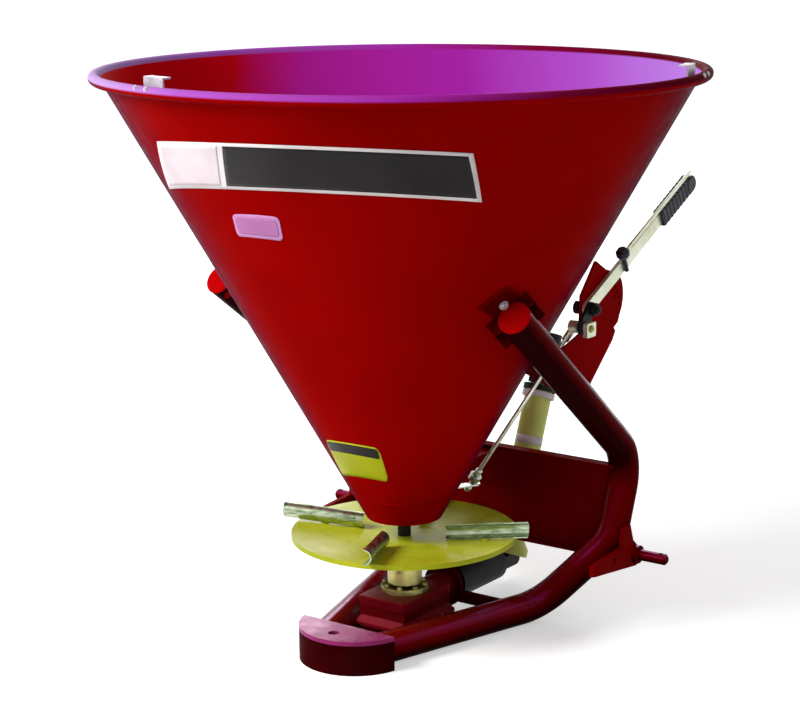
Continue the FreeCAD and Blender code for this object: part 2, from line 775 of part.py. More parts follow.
def bent_path(points, radius):
    """A wire of straight runs joined by tangent arcs."""
    edges = []
    start = points[0]
    for before, corner, after in zip(points, points[1:], points[2:]):
        back = (before - corner).normalize()
        ahead = (after - corner).normalize()
        reach = radius * math.tan((math.pi - back.getAngle(ahead)) / 2)
        inward = (back + ahead).normalize()
        middle = corner + inward * (math.hypot(reach, radius) - radius)
        first, last = corner + back * reach, corner + ahead * reach
        edges.append(Part.LineSegment(start, first).toShape())
        edges.append(Part.Arc(first, middle, last).toShape())
        start = last
    edges.append(Part.LineSegment(start, points[-1]).toShape())
    return Part.Wire(edges)


def swept(points, radius, bend):
    path = bent_path(points, bend)
    ahead = points[1] - points[0]
    profile = Part.Wire([Part.Circle(points[0], ahead, radius).toShape()])
    return path.makePipeShell([profile], True, False)


def side_tube(name, side):
    points = tube_points(side)
    outer = swept(points, float(c.tube_r), float(c.bend_r))
    run = (points[1] - points[0]).normalize()
    bored = [points[0] + run * float(c.tube_wall)] + points[1:]
    inner = swept(bored, float(c.tube_r - c.tube_wall), float(c.bend_r))
    core = doc.addObject("Part::Feature", "tube_core_" + name)
    core.Shape = outer
    return solid_from("side_tube_" + name, outer.cut(inner)), core


# ---- nose ----

def nose_segment(radius, front):
    """The round end of the nose, cut off square at its front edge."""
    half = root(radius * radius - (front - c.nose_x) * (front - c.nose_x))
    return [Corner(front, half, radius), Corner(front, -half)]


def nose_top(cores):
    """The plate on the rails' rear ends, let into both tubes."""
    body = new_body("nose_top_plate")
    pad(body, "XY", [nose_segment(c.nose_r, c.nose_front_x), Circle(c.tow_x, 0, c.tow_bore)],
        c.nose_t, False, nose_z)
    return cut_by("nose_top", body, cores)


def nose_foot():
    body = new_body("nose_foot")
    pad(body, "XY", [nose_segment(c.nose_r - c.skin_t, c.foot_front_x), Circle(c.tow_x, 0, c.tow_bore)],
        c.nose_t, False)
    return body


def nose_skirt():
    """The upright strip bent round the nose."""
    body = new_body("nose_skirt")
    outer, inner = c.nose_r, c.nose_r - c.skin_t
    outside, inside = nose_segment(outer, c.nose_front_x), nose_segment(inner, c.nose_front_x)
    turned_back = Corner(inside[1].x, inside[1].y, inner, -1)
    pad(body, "XY", [outside + [turned_back, Corner(inside[0].x, inside[0].y)]], nose_z, False)
    return body


nose_z = c.tube_r * 2 - c.nose_sink


# ---- cross panel, hitch and mast ----

def cross_panel(cores):
    body = new_body("cross_panel_sheet")
    bend, t = as_size(8), c.panel_t
    x, z0, z1, lip = c.panel_x, c.panel_z0, c.panel_z1, c.panel_lip
    pad(body, "XZ", [[
        Corner(x - lip, z1),
        Corner(x - bend, z1, bend, -1),
        Corner(x, z1 - bend),
        Corner(x, z0 + bend, bend, -1),
        Corner(x - bend, z0),
        Corner(x - lip, z0),
        Corner(x - lip, z0 + t),
        Corner(x - bend, z0 + t, bend - t),
        Corner(x - t, z0 + bend),
        Corner(x - t, z1 - bend, bend - t),
        Corner(x - bend, z1 - t),
        Corner(x - lip, z1 - t),
    ]], 2 * c.hip_y)
    return cut_by("cross_panel", body, cores)


def hitch_cheek(name, side, core):
    """The plate on the outer side of a tube's hip, with a lug round the lower link pin."""
    body = new_body("hitch_cheek_plate_" + name)
    tail_z = c.link_z - 4
    pad(body, "XZ", [[
        Corner(c.cheek_tail, tail_z),
        Corner(c.link_x, c.link_z - c.lug_r, c.lug_r),
        Corner(c.link_x + c.lug_r, c.link_z),
        Corner(c.hip_x + 18, c.hip_z),
        Corner(c.hip_x + 6, c.hip_z + 34),
        Corner(c.hip_x - 18, c.hip_z + 34),
        Corner(c.hip_x - 20, c.hip_z - 6),
        Corner(c.cheek_tail, tail_z + 21),
    ], Circle(c.link_x, c.link_z, c.link_r), Circle(c.cheek_tail + 74, tail_z + 8, c.cheek_hole),
    ], c.cheek_t)
    place(body, 0, c.cheek_y * side, 0)
    return cut_by("hitch_cheek_" + name, body, [core])


def link_pin(name, side):
    """A lower link pin with its collar, riveted head and linchpin hole."""
    inner = c.cheek_y - c.cheek_t / 2
    outer = c.cheek_y + c.cheek_t / 2
    body = turned("link_pin_" + name, [
        (0, inner - 6),
        (c.link_r + 3, inner - 6),
        (c.link_r + 3, inner),
        (c.link_r, inner),
        (c.link_r, outer),
        (c.collar_r, outer),
        (c.collar_r, outer + c.collar_t),
        (c.link_r, outer + c.collar_t),
        (c.link_r, c.link_tip - 4),
        (c.link_r - 4, c.link_tip),
        (0, c.link_tip),
    ])
    pocket(body, "XZ", [Circle(0, c.link_tip - 12, as_size(5))])
    return place(body, c.link_x, 0, c.link_z, V(1, 0, 0), -90 * side)


def mast_saddle():
    """The curved plate, welded to the front of the cone, that carries the two mast ears."""
    body = new_body("mast_saddle")
    low, high = c.saddle_z0, c.saddle_z1
    thick = c.saddle_t * slant
    feature = revolve(body, [[
        (cone_outside(low), low),
        (cone_outside(low) + thick, low),
        (cone_outside(high) + thick, high),
        (cone_outside(high), high),
    ]])
    feature.setExpression("Angle", c.saddle_sweep.text)
    return place(body, axis=V(0, 0, 1), angle=c.saddle_sweep / -2)


def mast_ear(name, side, saddle):
    """One ear of the top link's bracket, coped to the saddle's curve."""
    body = new_body("mast_ear_%s_sheet" % name)
    head = c.mast_w / 2
    low, high = c.saddle_z0 + c.ear_inset, c.mast_z - c.ear_inset
    pad(body, "XZ", [[
        Corner(cone_outside(low), low),
        Corner(cone_outside(low) + c.mast_foot, low),
        Corner(c.mast_x + head, c.mast_z, head),
        Corner(c.mast_x - head, c.mast_z),
        Corner(cone_outside(high), high),
    ], Circle(c.mast_x, c.mast_z, c.top_bore)], c.mast_t)
    place(body, 0, (c.mast_gap + c.mast_t) / 2 * side, 0)
    return cut_by("mast_ear_" + name, body, [saddle])


def bar_between(start, end, width, thickness, flat_to):
    """A flat bar from one point to another, its wide face square to flat_to."""
    run = end - start
    length = run.Length
    along = V(run.x, run.y, run.z).normalize()
    across = along.cross(flat_to).normalize()
    up = across.cross(along)
    box = Part.makeBox(length, width, thickness, V(0, -width / 2, -thickness / 2))
    matrix = FreeCAD.Matrix(
        along.x, across.x, up.x, start.x,
        along.y, across.y, up.y, start.y,
        along.z, across.z, up.z, start.z,
        0, 0, 0, 1)
    box.transformShape(matrix)
    return box


def mast_stay(name, side, core):
    """A flat bar on edge from the mast ear to the arm, coped round the tube."""
    ear_face = float(c.mast_gap / 2 + c.mast_t) * side
    arm_y, arm_z = arm_at(c.stay_x)
    start = vector(c.mast_x - c.stay_back, 0, c.mast_z - c.stay_drop)
    end = vector(c.stay_x, arm_y * side, arm_z)
    level = (end - start).cross(V(0, 0, 1))
    bar = bar_between(start, end, float(c.stay_w), float(c.stay_t), level)
    big = float(c.hopper_r)
    near_ear = Part.makeBox(2 * big, big + abs(ear_face), 2 * big,
                            V(-big, -big if side > 0 else -abs(ear_face), 0))
    return solid_from("mast_stay_" + name, bar.cut([near_ear, core.Shape]))


def arm_bracket(name, side, core):
    """A channel bolted to the cone, its flanges coped round the end of the arm."""
    points = tube_points(side)
    run = (points[1] - points[0]).normalize()
    seat = points[0] + run * 32
    radius = math.hypot(seat.x, seat.y)
    out = V(seat.x / radius, seat.y / radius, 0)
    normal = (out - V(0, 0, 1) * float(slope)) * (1 / float(slant))
    gap = (radius - float(cone_outside(as_size(seat.z)))) / float(slant)
    foot = seat - normal * gap
    along = (run - normal * run.dot(normal)).normalize()
    across = normal.cross(along)
    web = Part.makeBox(50, 92, 5, V(-25, -46, 0))
    depth = gap - 2
    flange = [Part.makeBox(5, 92, depth, V(x, -46, 0)) for x in (-25, 20)]
    channel = web.fuse(flange).removeSplitter()
    channel.transformShape(FreeCAD.Matrix(
        along.x, across.x, normal.x, foot.x,
        along.y, across.y, normal.y, foot.y,
        along.z, across.z, normal.z, foot.z,
        0, 0, 0, 1))
    return solid_from("arm_bracket_" + name, channel.cut(core.Shape))


def hopper_stay():
    """The bent bar that holds the lower front of the cone to the cross panel."""
    body = new_body("hopper_stay")
    z0, thick = c.floor_z + 14, as_size(6)
    top = z0 + 62
    pad(body, "XZ", [[
        (c.panel_x - c.panel_t, z0),
        (c.panel_x - c.panel_t, z0 + thick),
        (cone_outside(z0 + thick) + thick * slant, z0 + thick),
        (cone_outside(top) + thick * slant, top),
        (cone_outside(top), top),
        (cone_outside(z0), z0),
    ]], as_size(44))
    return body


def rail_y(x):
    """Distance of a lower rail's centre line from the middle plane."""
    return c.heel_y + (c.toe_y - c.heel_y) * (x - c.heel_x) / (c.toe_x - c.heel_x)


def gearbox_base(cores):
    """The plate that the gearbox stands on, coped and welded between the two rails."""
    body = new_body("gearbox_base_sheet")
    rear, front = -c.gear_l / 2 - 10, c.gear_l / 2 - 20
    pad(body, "XY", [[
        (rear, -rail_y(rear)), (front, -rail_y(front)), (front, rail_y(front)), (rear, rail_y(rear)),
    ]], c.base_t, False, c.gear_z0 - c.base_t)
    return cut_by("gearbox_base", body, cores)


def carrier_bar(cores):
    """The upright bar in front of the gearbox, with a ring round the input neck."""
    body = new_body("carrier_bar_plate")
    rear, thick = c.neck_end - 40, as_size(8)
    low, high, half = c.tube_r, c.tube_r + 24, rail_y(rear)
    pad(body, "YZ", [[(-half, low), (half, low), (half, high), (-half, high)]], thick, False, rear)
    pad(body, "YZ", [Circle(0, c.input_z, c.neck_r + 14)], thick, False, rear)
    pocket(body, "YZ", [Circle(0, c.input_z, c.neck_r)])
    return cut_by("carrier_bar", body, cores)


# ---- lever ----

def by_pivot(across, up):
    """A point on the quadrant, by its offsets from the lever's pivot."""
    return c.pivot_x + across, c.pivot_z + up


def quadrant(core):
    """The lever's plate, standing on the right arm, with its staggered stop holes."""
    body = new_body("quadrant_plate_sheet")
    foot_0, foot_1 = c.pivot_x - 78, c.pivot_x + 30
    stops = [(97, 27), (104, 16), (111, 4), (113, 22), (120, 12), (125, 0), (126, -13), (100, -42)]
    pad(body, "XZ", [[
        Corner(*by_pivot(130, -33), bow=c.sector_r),
        Corner(*by_pivot(136, 31)),
        Corner(*by_pivot(124, 46)),
        Corner(*by_pivot(76, 61)),
        Corner(*by_pivot(42, 81)),
        Corner(*by_pivot(-9, 24)),
        Corner(*by_pivot(-12, -46)),
        Corner(*by_pivot(-74, -64)),
        Corner(foot_0, arm_at(foot_0)[1]),
        Corner(foot_1, arm_at(foot_1)[1]),
        Corner(*by_pivot(26, -147)),
        Corner(*by_pivot(104, -79)),
        Corner(*by_pivot(115, -63)),
        Corner(*by_pivot(109, -55)),
        Corner(*by_pivot(124, -47)),
    ], Circle(c.pivot_x, c.pivot_z, c.pivot_r)]
        + [Circle(*by_pivot(across, up), c.stop_r) for across, up in stops],
        c.plate_t)
    place(body, 0, c.plate_y + c.plate_t / 2, 0)
    return cut_by("quadrant_plate", body, [core])


def across_y(body, x, y, z):
    """Lays a piece turned round Z along -Y, starting at x, y, z."""
    return place(body, x, y, z, V(1, 0, 0), 90)


def lever_pivot():
    body = turned("lever_pivot", [
        (0, -12),
        (c.pivot_r + 5, -12),
        (c.pivot_r + 5, 0),
        (c.pivot_r, 0),
        (c.pivot_r, c.plate_t + c.lever_gap + c.lever_t + c.crank_t + 2),
        (c.pivot_r + 5, c.plate_t + c.lever_gap + c.lever_t + c.crank_t + 2),
        (c.pivot_r + 5, c.plate_t + c.lever_gap + c.lever_t + c.crank_t + 10),
        (0, c.plate_t + c.lever_gap + c.lever_t + c.crank_t + 10),
    ])
    return across_y(body, c.pivot_x, c.plate_y + c.plate_t, c.pivot_z)


def on_lever(body, y):
    """Turns a piece drawn along +X to the lever's rest angle about its pivot."""
    return place(body, c.pivot_x, y, c.pivot_z, V(0, 1, 0), -1 * c.lever_angle)


def lever_bar():
    body = new_body("lever_bar")
    half = c.lever_w / 2
    pad(body, "XZ", [[
        Corner(0, half, half),
        Corner(0, -half),
        Corner(c.lever_len, -half),
        Corner(c.lever_len, half),
    ], Circle(0, 0, c.pivot_r + 0.1)], c.lever_t)
    return on_lever(body, lever_face - c.lever_t / 2)


def lever_grip():
    body = new_body("lever_grip")
    start = c.lever_len - 22
    half = c.grip_w / 2
    corner = as_size(9)
    end = start + c.grip_len
    pad(body, "XZ", [[
        Corner(start, -half),
        Corner(end - corner, -half, corner),
        Corner(end, -half + corner),
        Corner(end, half - corner, corner),
        Corner(end - corner, half),
        Corner(start, half),
    ]], c.grip_t)
    flat = c.lever_w / 2
    pocket(body, "YZ", [[
        (-c.lever_t / 2, -flat), (c.lever_t / 2, -flat), (c.lever_t / 2, flat), (-c.lever_t / 2, flat),
    ]], as_size(22), start, True)
    return on_lever(body, lever_face - c.lever_t / 2)


def latch_knob():
    body = turned("latch_knob", [
        Corner(0, c.lever_w / -2),
        Corner(4, c.lever_w / -2),
        Corner(4, c.lever_w / 2 + 6),
        Corner(9, c.lever_w / 2 + 6),
        Corner(c.knob_r, c.lever_w / 2 + 12),
        Corner(c.knob_r, c.lever_w / 2 + 20),
        Corner(8, c.lever_w / 2 + 26),
        Corner(0, c.lever_w / 2 + 26),
    ])
    place(body, c.pivot_x + 140 * cosine(c.lever_angle), lever_face - c.lever_t - 4,
          c.pivot_z + 140 * sine(c.lever_angle), V(0, 1, 0), -1 * c.lever_angle)
    return body


def lever_crank():
    body = new_body("lever_crank")
    half = c.crank_w / 2
    pad(body, "XZ", [[
        Corner(0, half, half),
        Corner(0, -half),
        Corner(c.crank_len, -half, half),
        Corner(c.crank_len, half),
    ], Circle(0, 0, c.pivot_r + 0.1), Circle(c.crank_len, 0, c.rod_r)], c.crank_t)
    return place(body, c.pivot_x, crank_face - c.crank_t / 2, c.pivot_z, V(0, 1, 0), -1 * c.crank_angle)


def rod_ends():
    """The two ends of the control rod: its eye on the crank and its swivel on the shutter arm."""
    top = vector(c.pivot_x + crank_x, crank_face + c.ball_gap, c.pivot_z + crank_z)
    turn = math.radians(float(c.shutter_turn))
    low = vector(c.eye_r * math.cos(turn), c.eye_r * math.sin(turn), c.eye_z)
    return top, low


def control_rod():
    top, low = rod_ends()
    run = (low - top).normalize()
    start, tail = 26, 38
    length = (low - top).Length - start + tail
    return solid_from("control_rod", Part.makeCylinder(float(c.rod_r), length, top + run * start, run))


def rod_socket():
    """The socket on the rod's upper end, open towards the crank for the ball's stud."""
    top, low = rod_ends()
    run = (low - top).normalize()
    ball = float(c.ball_r)
    cup = Part.makeCylinder(ball + 3.5, 2 * ball, top + V(0, ball - 1, 0), V(0, -1, 0))
    shell = cup.fuse(Part.makeCylinder(7, 34, top, run))
    mouth = Part.makeCylinder(ball - 0.6, 30, top, V(0, -1, 0))
    rod = Part.makeCylinder(float(c.rod_r), 40, top + run * 26, run)
    return solid_from("rod_socket", shell.cut([Part.makeSphere(ball + 0.2, top), mouth, rod]))


def crank_ball():
    """The ball and its stud, riveted into the crank."""
    top, low = rod_ends()
    ball = Part.makeSphere(float(c.ball_r), top)
    stud = Part.makeCylinder(float(c.rod_r), float(c.ball_gap + c.crank_t), top, V(0, -1, 0))
    return solid_from("crank_ball", ball.fuse(stud).removeSplitter())


def rod_nuts():
    """The two nuts on the rod's threaded tail, either side of the shutter arm's eye."""
    top, low = rod_ends()
    run = (low - top).normalize()
    pieces = []
    for name, at in (("upper", -19), ("lower", 28)):
        nut = Part.makeCylinder(7, 6, low + run * at, run)
        rod = Part.makeCylinder(float(c.rod_r), 20, low + run * (at - 5), run)
        pieces.append(solid_from("rod_nut_" + name, nut.cut(rod)))
    return pieces


# ---- drive shaft, stowed upright ----

def on_drive(body):
    """Stands a piece drawn along +Z on the joint, leaning forwards."""
    return place(body, c.joint_x, 0, c.input_z, V(0, 1, 0), c.drive_lean)


def joint_cross(label, at):
    body = new_body(label)
    reach = c.fork_gap / 2 + c.fork_t
    pad(body, "YZ", [Circle(0, at, c.cross_r)], 2 * reach)
    pad(body, "XZ", [Circle(0, at, c.cross_r)], 2 * reach)
    return body


def drive_guard_lower():
    tube = c.guard_r - c.guard_t - c.guard_gap
    inner = tube - c.guard_t
    body = turned("guard_lower", [
        (inner, c.bell_end + 6),
        (c.fork_hub_r, c.bell_end + 6),
        (c.fork_hub_r, c.bell_end + 2),
        (inner, c.bell_end),
        (c.bell_r - c.guard_t, c.bell_start + 14),
        (c.bell_r - c.guard_t, c.bell_start),
        (c.bell_r, c.bell_start),
        (c.bell_r, c.bell_start + 15),
        (tube, c.bell_end + 4),
        (tube, guard_end - 90),
        (inner, guard_end - 90),
    ])
    return on_drive(body)


def drive_guard_upper():
    inner = c.guard_r - c.guard_t
    body = turned("guard_upper", [
        (inner, c.bell_end + 60),
        (c.guard_r, c.bell_end + 60),
        (c.guard_r, guard_end - 10),
        (c.guard_r + 6, guard_end - 6),
        (c.guard_r + 6, guard_end),
        (c.guard_r + 4, guard_end),
        (c.guard_r, guard_end - 8),
        (c.fork_hub_r, guard_end - 8),
        (c.fork_hub_r, guard_end - 12),
        (inner, guard_end - 12),
    ])
    return on_drive(body)


def drive_bar():
    return on_drive(ring("drive_bar", None, c.bar_r, as_size(60), guard_end - 100))


def drive_sleeve():
    bore = c.bar_r + 1.5
    return on_drive(ring("drive_sleeve", bore, bore + 3, as_size(61), guard_end - 18))


# ---- the assembly ----

def build():
    tubes, cores = [], {}
    for name, side in SIDES:
        tube, cores[name] = side_tube(name, side)
        tubes.append(tube)
    both = list(cores.values())
    vanes = [vane(number) for number in (1, 2, 3, 4)]
    pieces = tubes + vanes + [
        hopper(), hopper_floor(), hopper_stay(), shutter_plate(), shutter_arm(),
        spinner_disc(vanes), spinner_hub(), spinner_shaft(), agitator(),
        gearbox(), gearbox_cap(), gearbox_base(both), carrier_bar(both),
        input_shaft(), input_shield(), nose_top(both), nose_foot(), nose_skirt(),
        cross_panel(both), quadrant(cores["right"]), lever_pivot(), lever_bar(), lever_grip(), latch_knob(),
        lever_crank(), crank_ball(), control_rod(), rod_socket(),
    ]
    pieces += rod_nuts()
    pieces += [rim_clip(number, turn) for number, turn in enumerate(CLIP_TURNS, 1)]
    saddle = mast_saddle()
    pieces.append(saddle)
    for name, side in SIDES:
        pieces += [
            hitch_cheek(name, side, cores[name]), link_pin(name, side), mast_ear(name, side, saddle),
            mast_stay(name, side, cores[name]), arm_bracket(name, side, cores[name]),
        ]
    input_fork = fork("input_fork", c.input_r, as_size(24), c.neck_end + 82, c.joint_x - 50,
                      c.joint_x, "Y", c.pin_fit)
    pieces.append(along_x(input_fork, c.input_z))
    pieces.append(on_drive(fork("drive_fork", None, c.fork_hub_r, as_size(32), as_size(60), as_size(0), "X")))
    pieces.append(on_drive(joint_cross("lower_cross", 0)))
    pieces.append(on_drive(fork("tractor_fork", None, c.fork_hub_r, guard_end - 18,
                                c.tractor_joint - 30, c.tractor_joint, "X")))
    pieces.append(on_drive(joint_cross("upper_cross", c.tractor_joint)))
    pieces.append(on_drive(fork("tractor_yoke", c.input_r + 0.05, as_size(23.5), c.tractor_joint + 30,
                                c.tractor_joint + c.yoke_len, c.tractor_joint, "Y")))
    pieces += [drive_guard_lower(), drive_guard_upper(), drive_bar(), drive_sleeve()]
    return pieces


def check_and_export(pieces):
    doc.recompute()
    for item in doc.Objects:
        bad = [state for state in item.State if state in ("Invalid", "Error")]
        if bad:
            raise RuntimeError("%s is %s" % (item.Label, bad))
    os.makedirs("parts", exist_ok=True)
    for piece in pieces:
        if piece.Shape.isNull() or not piece.Shape.isValid() or not piece.Shape.Solids:
            raise RuntimeError(piece.Label + " has no valid solid")
        piece.Shape.exportStep("parts/%s.step" % piece.Label)
    print("%d pieces" % len(pieces))


check_and_export(build())
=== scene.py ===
import json
from collections import namedtuple
from math import atan2, cos, hypot, pi, radians, sin, sqrt
from random import Random

import bmesh
import bpy
from mathutils import Matrix, Vector


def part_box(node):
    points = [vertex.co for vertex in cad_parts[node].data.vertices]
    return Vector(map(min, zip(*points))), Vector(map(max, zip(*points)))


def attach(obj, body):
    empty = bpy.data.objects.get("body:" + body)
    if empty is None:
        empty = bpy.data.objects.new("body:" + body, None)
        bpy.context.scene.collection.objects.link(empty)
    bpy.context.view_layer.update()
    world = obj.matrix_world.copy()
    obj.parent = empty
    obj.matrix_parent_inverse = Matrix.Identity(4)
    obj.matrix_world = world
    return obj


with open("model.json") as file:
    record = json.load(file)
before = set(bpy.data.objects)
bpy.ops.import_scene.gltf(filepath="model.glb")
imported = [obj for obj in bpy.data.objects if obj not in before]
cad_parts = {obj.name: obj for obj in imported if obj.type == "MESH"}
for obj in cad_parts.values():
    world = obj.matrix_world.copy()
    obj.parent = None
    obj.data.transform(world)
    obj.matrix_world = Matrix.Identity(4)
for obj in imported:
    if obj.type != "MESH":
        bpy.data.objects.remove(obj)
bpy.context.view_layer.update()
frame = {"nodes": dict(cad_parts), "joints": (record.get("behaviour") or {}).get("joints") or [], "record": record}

# A tractor-mounted cone spreader. The CAD part has every piece with a real shape, and this script adds
# paint, blank stickers, fasteners, the casting's steps, end caps, the lever's fittings, bands and welds.
# Lengths are in metres. X points to the tractor, Y to the machine's left and Z up.

JOINTS = {joint["name"]: joint for joint in frame["joints"]}
SIDES = (("left", 1), ("right", -1))
UP = Vector((0, 0, 1))
TO_RIGHT = Vector((0, -1, 0))

# ---- the cone's own numbers, as in the CAD part ----
SKIRT_Z, SKIRT_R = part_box("hopper")[0].z, 0.0725
LIP_Z, LIP_R = 1.090, 0.552
SLOPE = (LIP_R - SKIRT_R) / (LIP_Z - SKIRT_Z)
SLANT = hypot(1, SLOPE)


def cone_radius(z):
    return SKIRT_R + SLOPE * (z - SKIRT_Z)


def cone_point(turn, z, lift):
    """A point on the cone's outside at a turn in degrees, lifted off along the cone's normal."""
    angle = radians(turn)
    radius = cone_radius(z) + lift / SLANT
    return Vector((radius * cos(angle), radius * sin(angle), z - lift * SLOPE / SLANT))


def cone_normal(turn):
    angle = radians(turn)
    return Vector((cos(angle), sin(angle), -SLOPE)) / SLANT


# ---- node trees ----
QUIET = 0.3                          # the noise under which a material is at its smoothest


class Tree:
    """A short way to write a node tree."""

    def __init__(self, tree):
        self.nodes, self.links = tree.nodes, tree.links

    def add(self, kind, **values):
        node = self.nodes.new(kind)
        for key, value in values.items():
            setattr(node, key, value)
        return node

    def link(self, source, target):
        self.links.new(source, target)

    def level(self, source, low, high, out_low=0.0, out_high=1.0):
        """Maps low to high onto out_low to out_high, and holds the ends."""
        node = self.add("ShaderNodeMapRange")
        limits = {"From Min": low, "From Max": high, "To Min": out_low, "To Max": out_high}
        for key, value in limits.items():
            node.inputs[key].default_value = value
        self.link(source, node.inputs["Value"])
        return node.outputs["Result"]

    def math(self, operation, first, second):
        node = self.add("ShaderNodeMath", operation=operation)
        self.link(first, node.inputs[0])
        if isinstance(second, float):
            node.inputs[1].default_value = second
        else:
            self.link(second, node.inputs[1])
        return node.outputs[0]

    def vector(self, operation, first, second=None):
        """Vector maths on a socket, with a second socket or a fixed vector where it takes one."""
        node = self.add("ShaderNodeVectorMath", operation=operation)
        self.link(first, node.inputs[0])
        if isinstance(second, tuple):
            node.inputs[1].default_value = second
        elif second:
            self.link(second, node.inputs[1])
        return node

    def height(self, source):
        split = self.add("ShaderNodeSeparateXYZ")
        self.link(source, split.inputs[0])
        return split.outputs["Z"]

    def direct_ray(self):
        """1 for the rays that see a plain white background: camera, glossy and transmission."""
        rays = self.add("ShaderNodeLightPath")
        sharp = self.math("MAXIMUM", rays.outputs["Is Camera Ray"], rays.outputs["Is Glossy Ray"])
        return self.math("MAXIMUM", sharp, rays.outputs["Is Transmission Ray"])


class Material(Tree):
    """A principled material, with noises laid over the object's own coordinates."""

    def __init__(self, name):
        self.mat = bpy.data.materials.new(name)
        self.mat.use_nodes = True
        super().__init__(self.mat.node_tree)
        self.bsdf = self.nodes["Principled BSDF"]
        self.where = self.add("ShaderNodeTexCoord").outputs["Object"]

    def noise(self, scale, detail, rough=0.55, stretch=None):
        node = self.add("ShaderNodeTexNoise")
        node.inputs["Scale"].default_value = scale
        node.inputs["Detail"].default_value = detail
        node.inputs["Roughness"].default_value = rough
        where = self.where
        if stretch:
            mapping = self.add("ShaderNodeMapping")
            mapping.inputs["Scale"].default_value = stretch
            self.link(where, mapping.inputs["Vector"])
            where = mapping.outputs["Vector"]
        self.link(where, node.inputs["Vector"])
        return node.outputs["Fac"]

    def ramp(self, source, stops):
        """Colours between (share, colour) stops."""
        node = self.add("ShaderNodeValToRGB")
        elements = node.color_ramp.elements
        while len(elements) < len(stops):
            elements.new(0.5)
        for element, (share, colour) in zip(elements, stops):
            element.position = share
            element.color = (*colour, 1)
        self.link(source, node.inputs["Fac"])
        return node.outputs["Color"]

    def mix(self, share, first, second):
        """first at share 0 and second at share 1, each a socket or a colour."""
        node = self.add("ShaderNodeMix", data_type="RGBA")
        self.link(share, node.inputs["Factor"])
        for name, value in (("A", first), ("B", second)):
            socket = [s for s in node.inputs if s.name == name and s.type == "RGBA"][0]
            if isinstance(value, tuple):
                socket.default_value = (*value, 1)
            else:
                self.link(value, socket)
        return [s for s in node.outputs if s.type == "RGBA"][0]

    def bump(self, source, strength, distance):
        node = self.add("ShaderNodeBump")
        node.inputs["Strength"].default_value = strength
        node.inputs["Distance"].default_value = distance
        self.link(source, node.inputs["Height"])
        self.link(node.outputs["Normal"], self.bsdf.inputs["Normal"])

    def colour(self, source):
        self.link(source, self.bsdf.inputs["Base Color"])

    def roughness(self, source, top, least, most):
        """Roughness from least to most as a noise goes from QUIET to top."""
        self.link(self.level(source, QUIET, top, least, most), self.bsdf.inputs["Roughness"])

    def set(self, **values):
        for key, value in values.items():
            self.bsdf.inputs[key.replace("_", " ")].default_value = value


# ---- kinds of material ----
CHIP_EDGE = 0.03                     # how far a chip's edge is blurred, in noise
GRIME_TOP, GRIME_SHARE = 0.24, 0.45  # grime ends at this height, and covers this share at the ground
GRIME = (0.030, 0.010, 0.010)
GRAZING = (0.50, 0.97)               # the painted grazing shade comes in between these shares of facing away
LOOKING_UP = (0.25, 0.95)            # the sheen comes in between these heights of the normal


def painted(name, colour, dark, rough=0.34, shine=0.003, sheen=0.003, tint=(1.0, 0.10, 0.35), under=0.35,
            turn=(-0.55, 0.30), edge=None, chips=0.72, grime=True):
    """Gloss paint of uneven tone with fine chips.

    shine is the specular level, sheen that of faces that look up, and tint the colour of both. Faces that
    look down are darkened as painted shade, to a share, under, of the dark tone, between the heights of the
    normal in turn. edge is the tone of a painted shade at grazing angles, and chips the noise above which the
    paint is chipped.
    """
    paint = Material(name)
    tone = paint.ramp(paint.noise(scale=4.5, detail=4), [(0.30, dark), (0.62, colour)])
    chipped = paint.level(paint.noise(scale=95, detail=6, rough=0.7), chips, chips + CHIP_EDGE)
    tone = paint.mix(chipped, tone, tuple(0.30 * v + 0.004 for v in dark))
    if grime:
        splash = paint.level(paint.height(paint.where), GRIME_TOP, 0.0)
        splash = paint.math("MULTIPLY", splash, paint.level(paint.noise(scale=16, detail=5), 0.42, 0.75))
        tone = paint.mix(paint.math("MULTIPLY", splash, GRIME_SHARE), tone, GRIME)
    looks_up = paint.height(paint.add("ShaderNodeNewGeometry").outputs["Normal"])
    # painted shade: faces that look down darken towards the dark tone
    if under < 1:
        tone = paint.mix(paint.level(looks_up, *turn), tuple(under * v for v in dark), tone)
    # painted shade at grazing angles: the edge tone where faces turn away
    if edge:
        facing = paint.add("ShaderNodeLayerWeight")
        facing.inputs["Blend"].default_value = 0.35
        tone = paint.mix(paint.level(facing.outputs["Facing"], *GRAZING), tone, edge)
    paint.colour(tone)
    paint.roughness(paint.noise(scale=28, detail=4), 0.8, rough - 0.08, rough + 0.16)
    paint.bump(paint.noise(scale=260, detail=2), 0.06, 0.0006)
    paint.set(Specular_IOR_Level=shine, Specular_Tint=(*tint, 1))
    if sheen > shine:
        paint.link(paint.level(looks_up, *LOOKING_UP, shine, sheen), paint.bsdf.inputs["Specular IOR Level"])
    return paint


def metal(name, colour, dark, rough, brushed=None, spots=None, metallic=1.0):
    """Plated or bare metal, brushed along the axis that brushed stretches, with spots of dull plating."""
    plate = Material(name)
    tone = plate.ramp(plate.noise(scale=14, detail=5, stretch=brushed), [(0.28, dark), (0.66, colour)])
    if spots:
        tone = plate.mix(plate.level(plate.noise(scale=48, detail=5, rough=0.65), 0.60, 0.68), tone, spots)
    plate.colour(tone)
    plate.roughness(plate.noise(scale=60, detail=4), 0.75, rough - 0.07, rough + 0.15)
    plate.bump(plate.noise(scale=340, detail=2, stretch=brushed), 0.10, 0.0004)
    plate.set(Metallic=metallic)
    return plate.mat


def plastic(name, colour, dark, rough, shine=0.12, streak=None):
    """Plastic, rubber or sticker film with a fine grain."""
    surface = Material(name)
    tone = surface.noise(scale=9, detail=4, stretch=streak)
    surface.colour(surface.ramp(tone, [(0.3, dark), (0.7, colour)]))
    surface.roughness(surface.noise(scale=40, detail=3), 0.8, rough - 0.06, rough + 0.12)
    surface.bump(surface.noise(scale=420, detail=2), 0.08, 0.0004)
    surface.set(Specular_IOR_Level=shine)
    return surface.mat
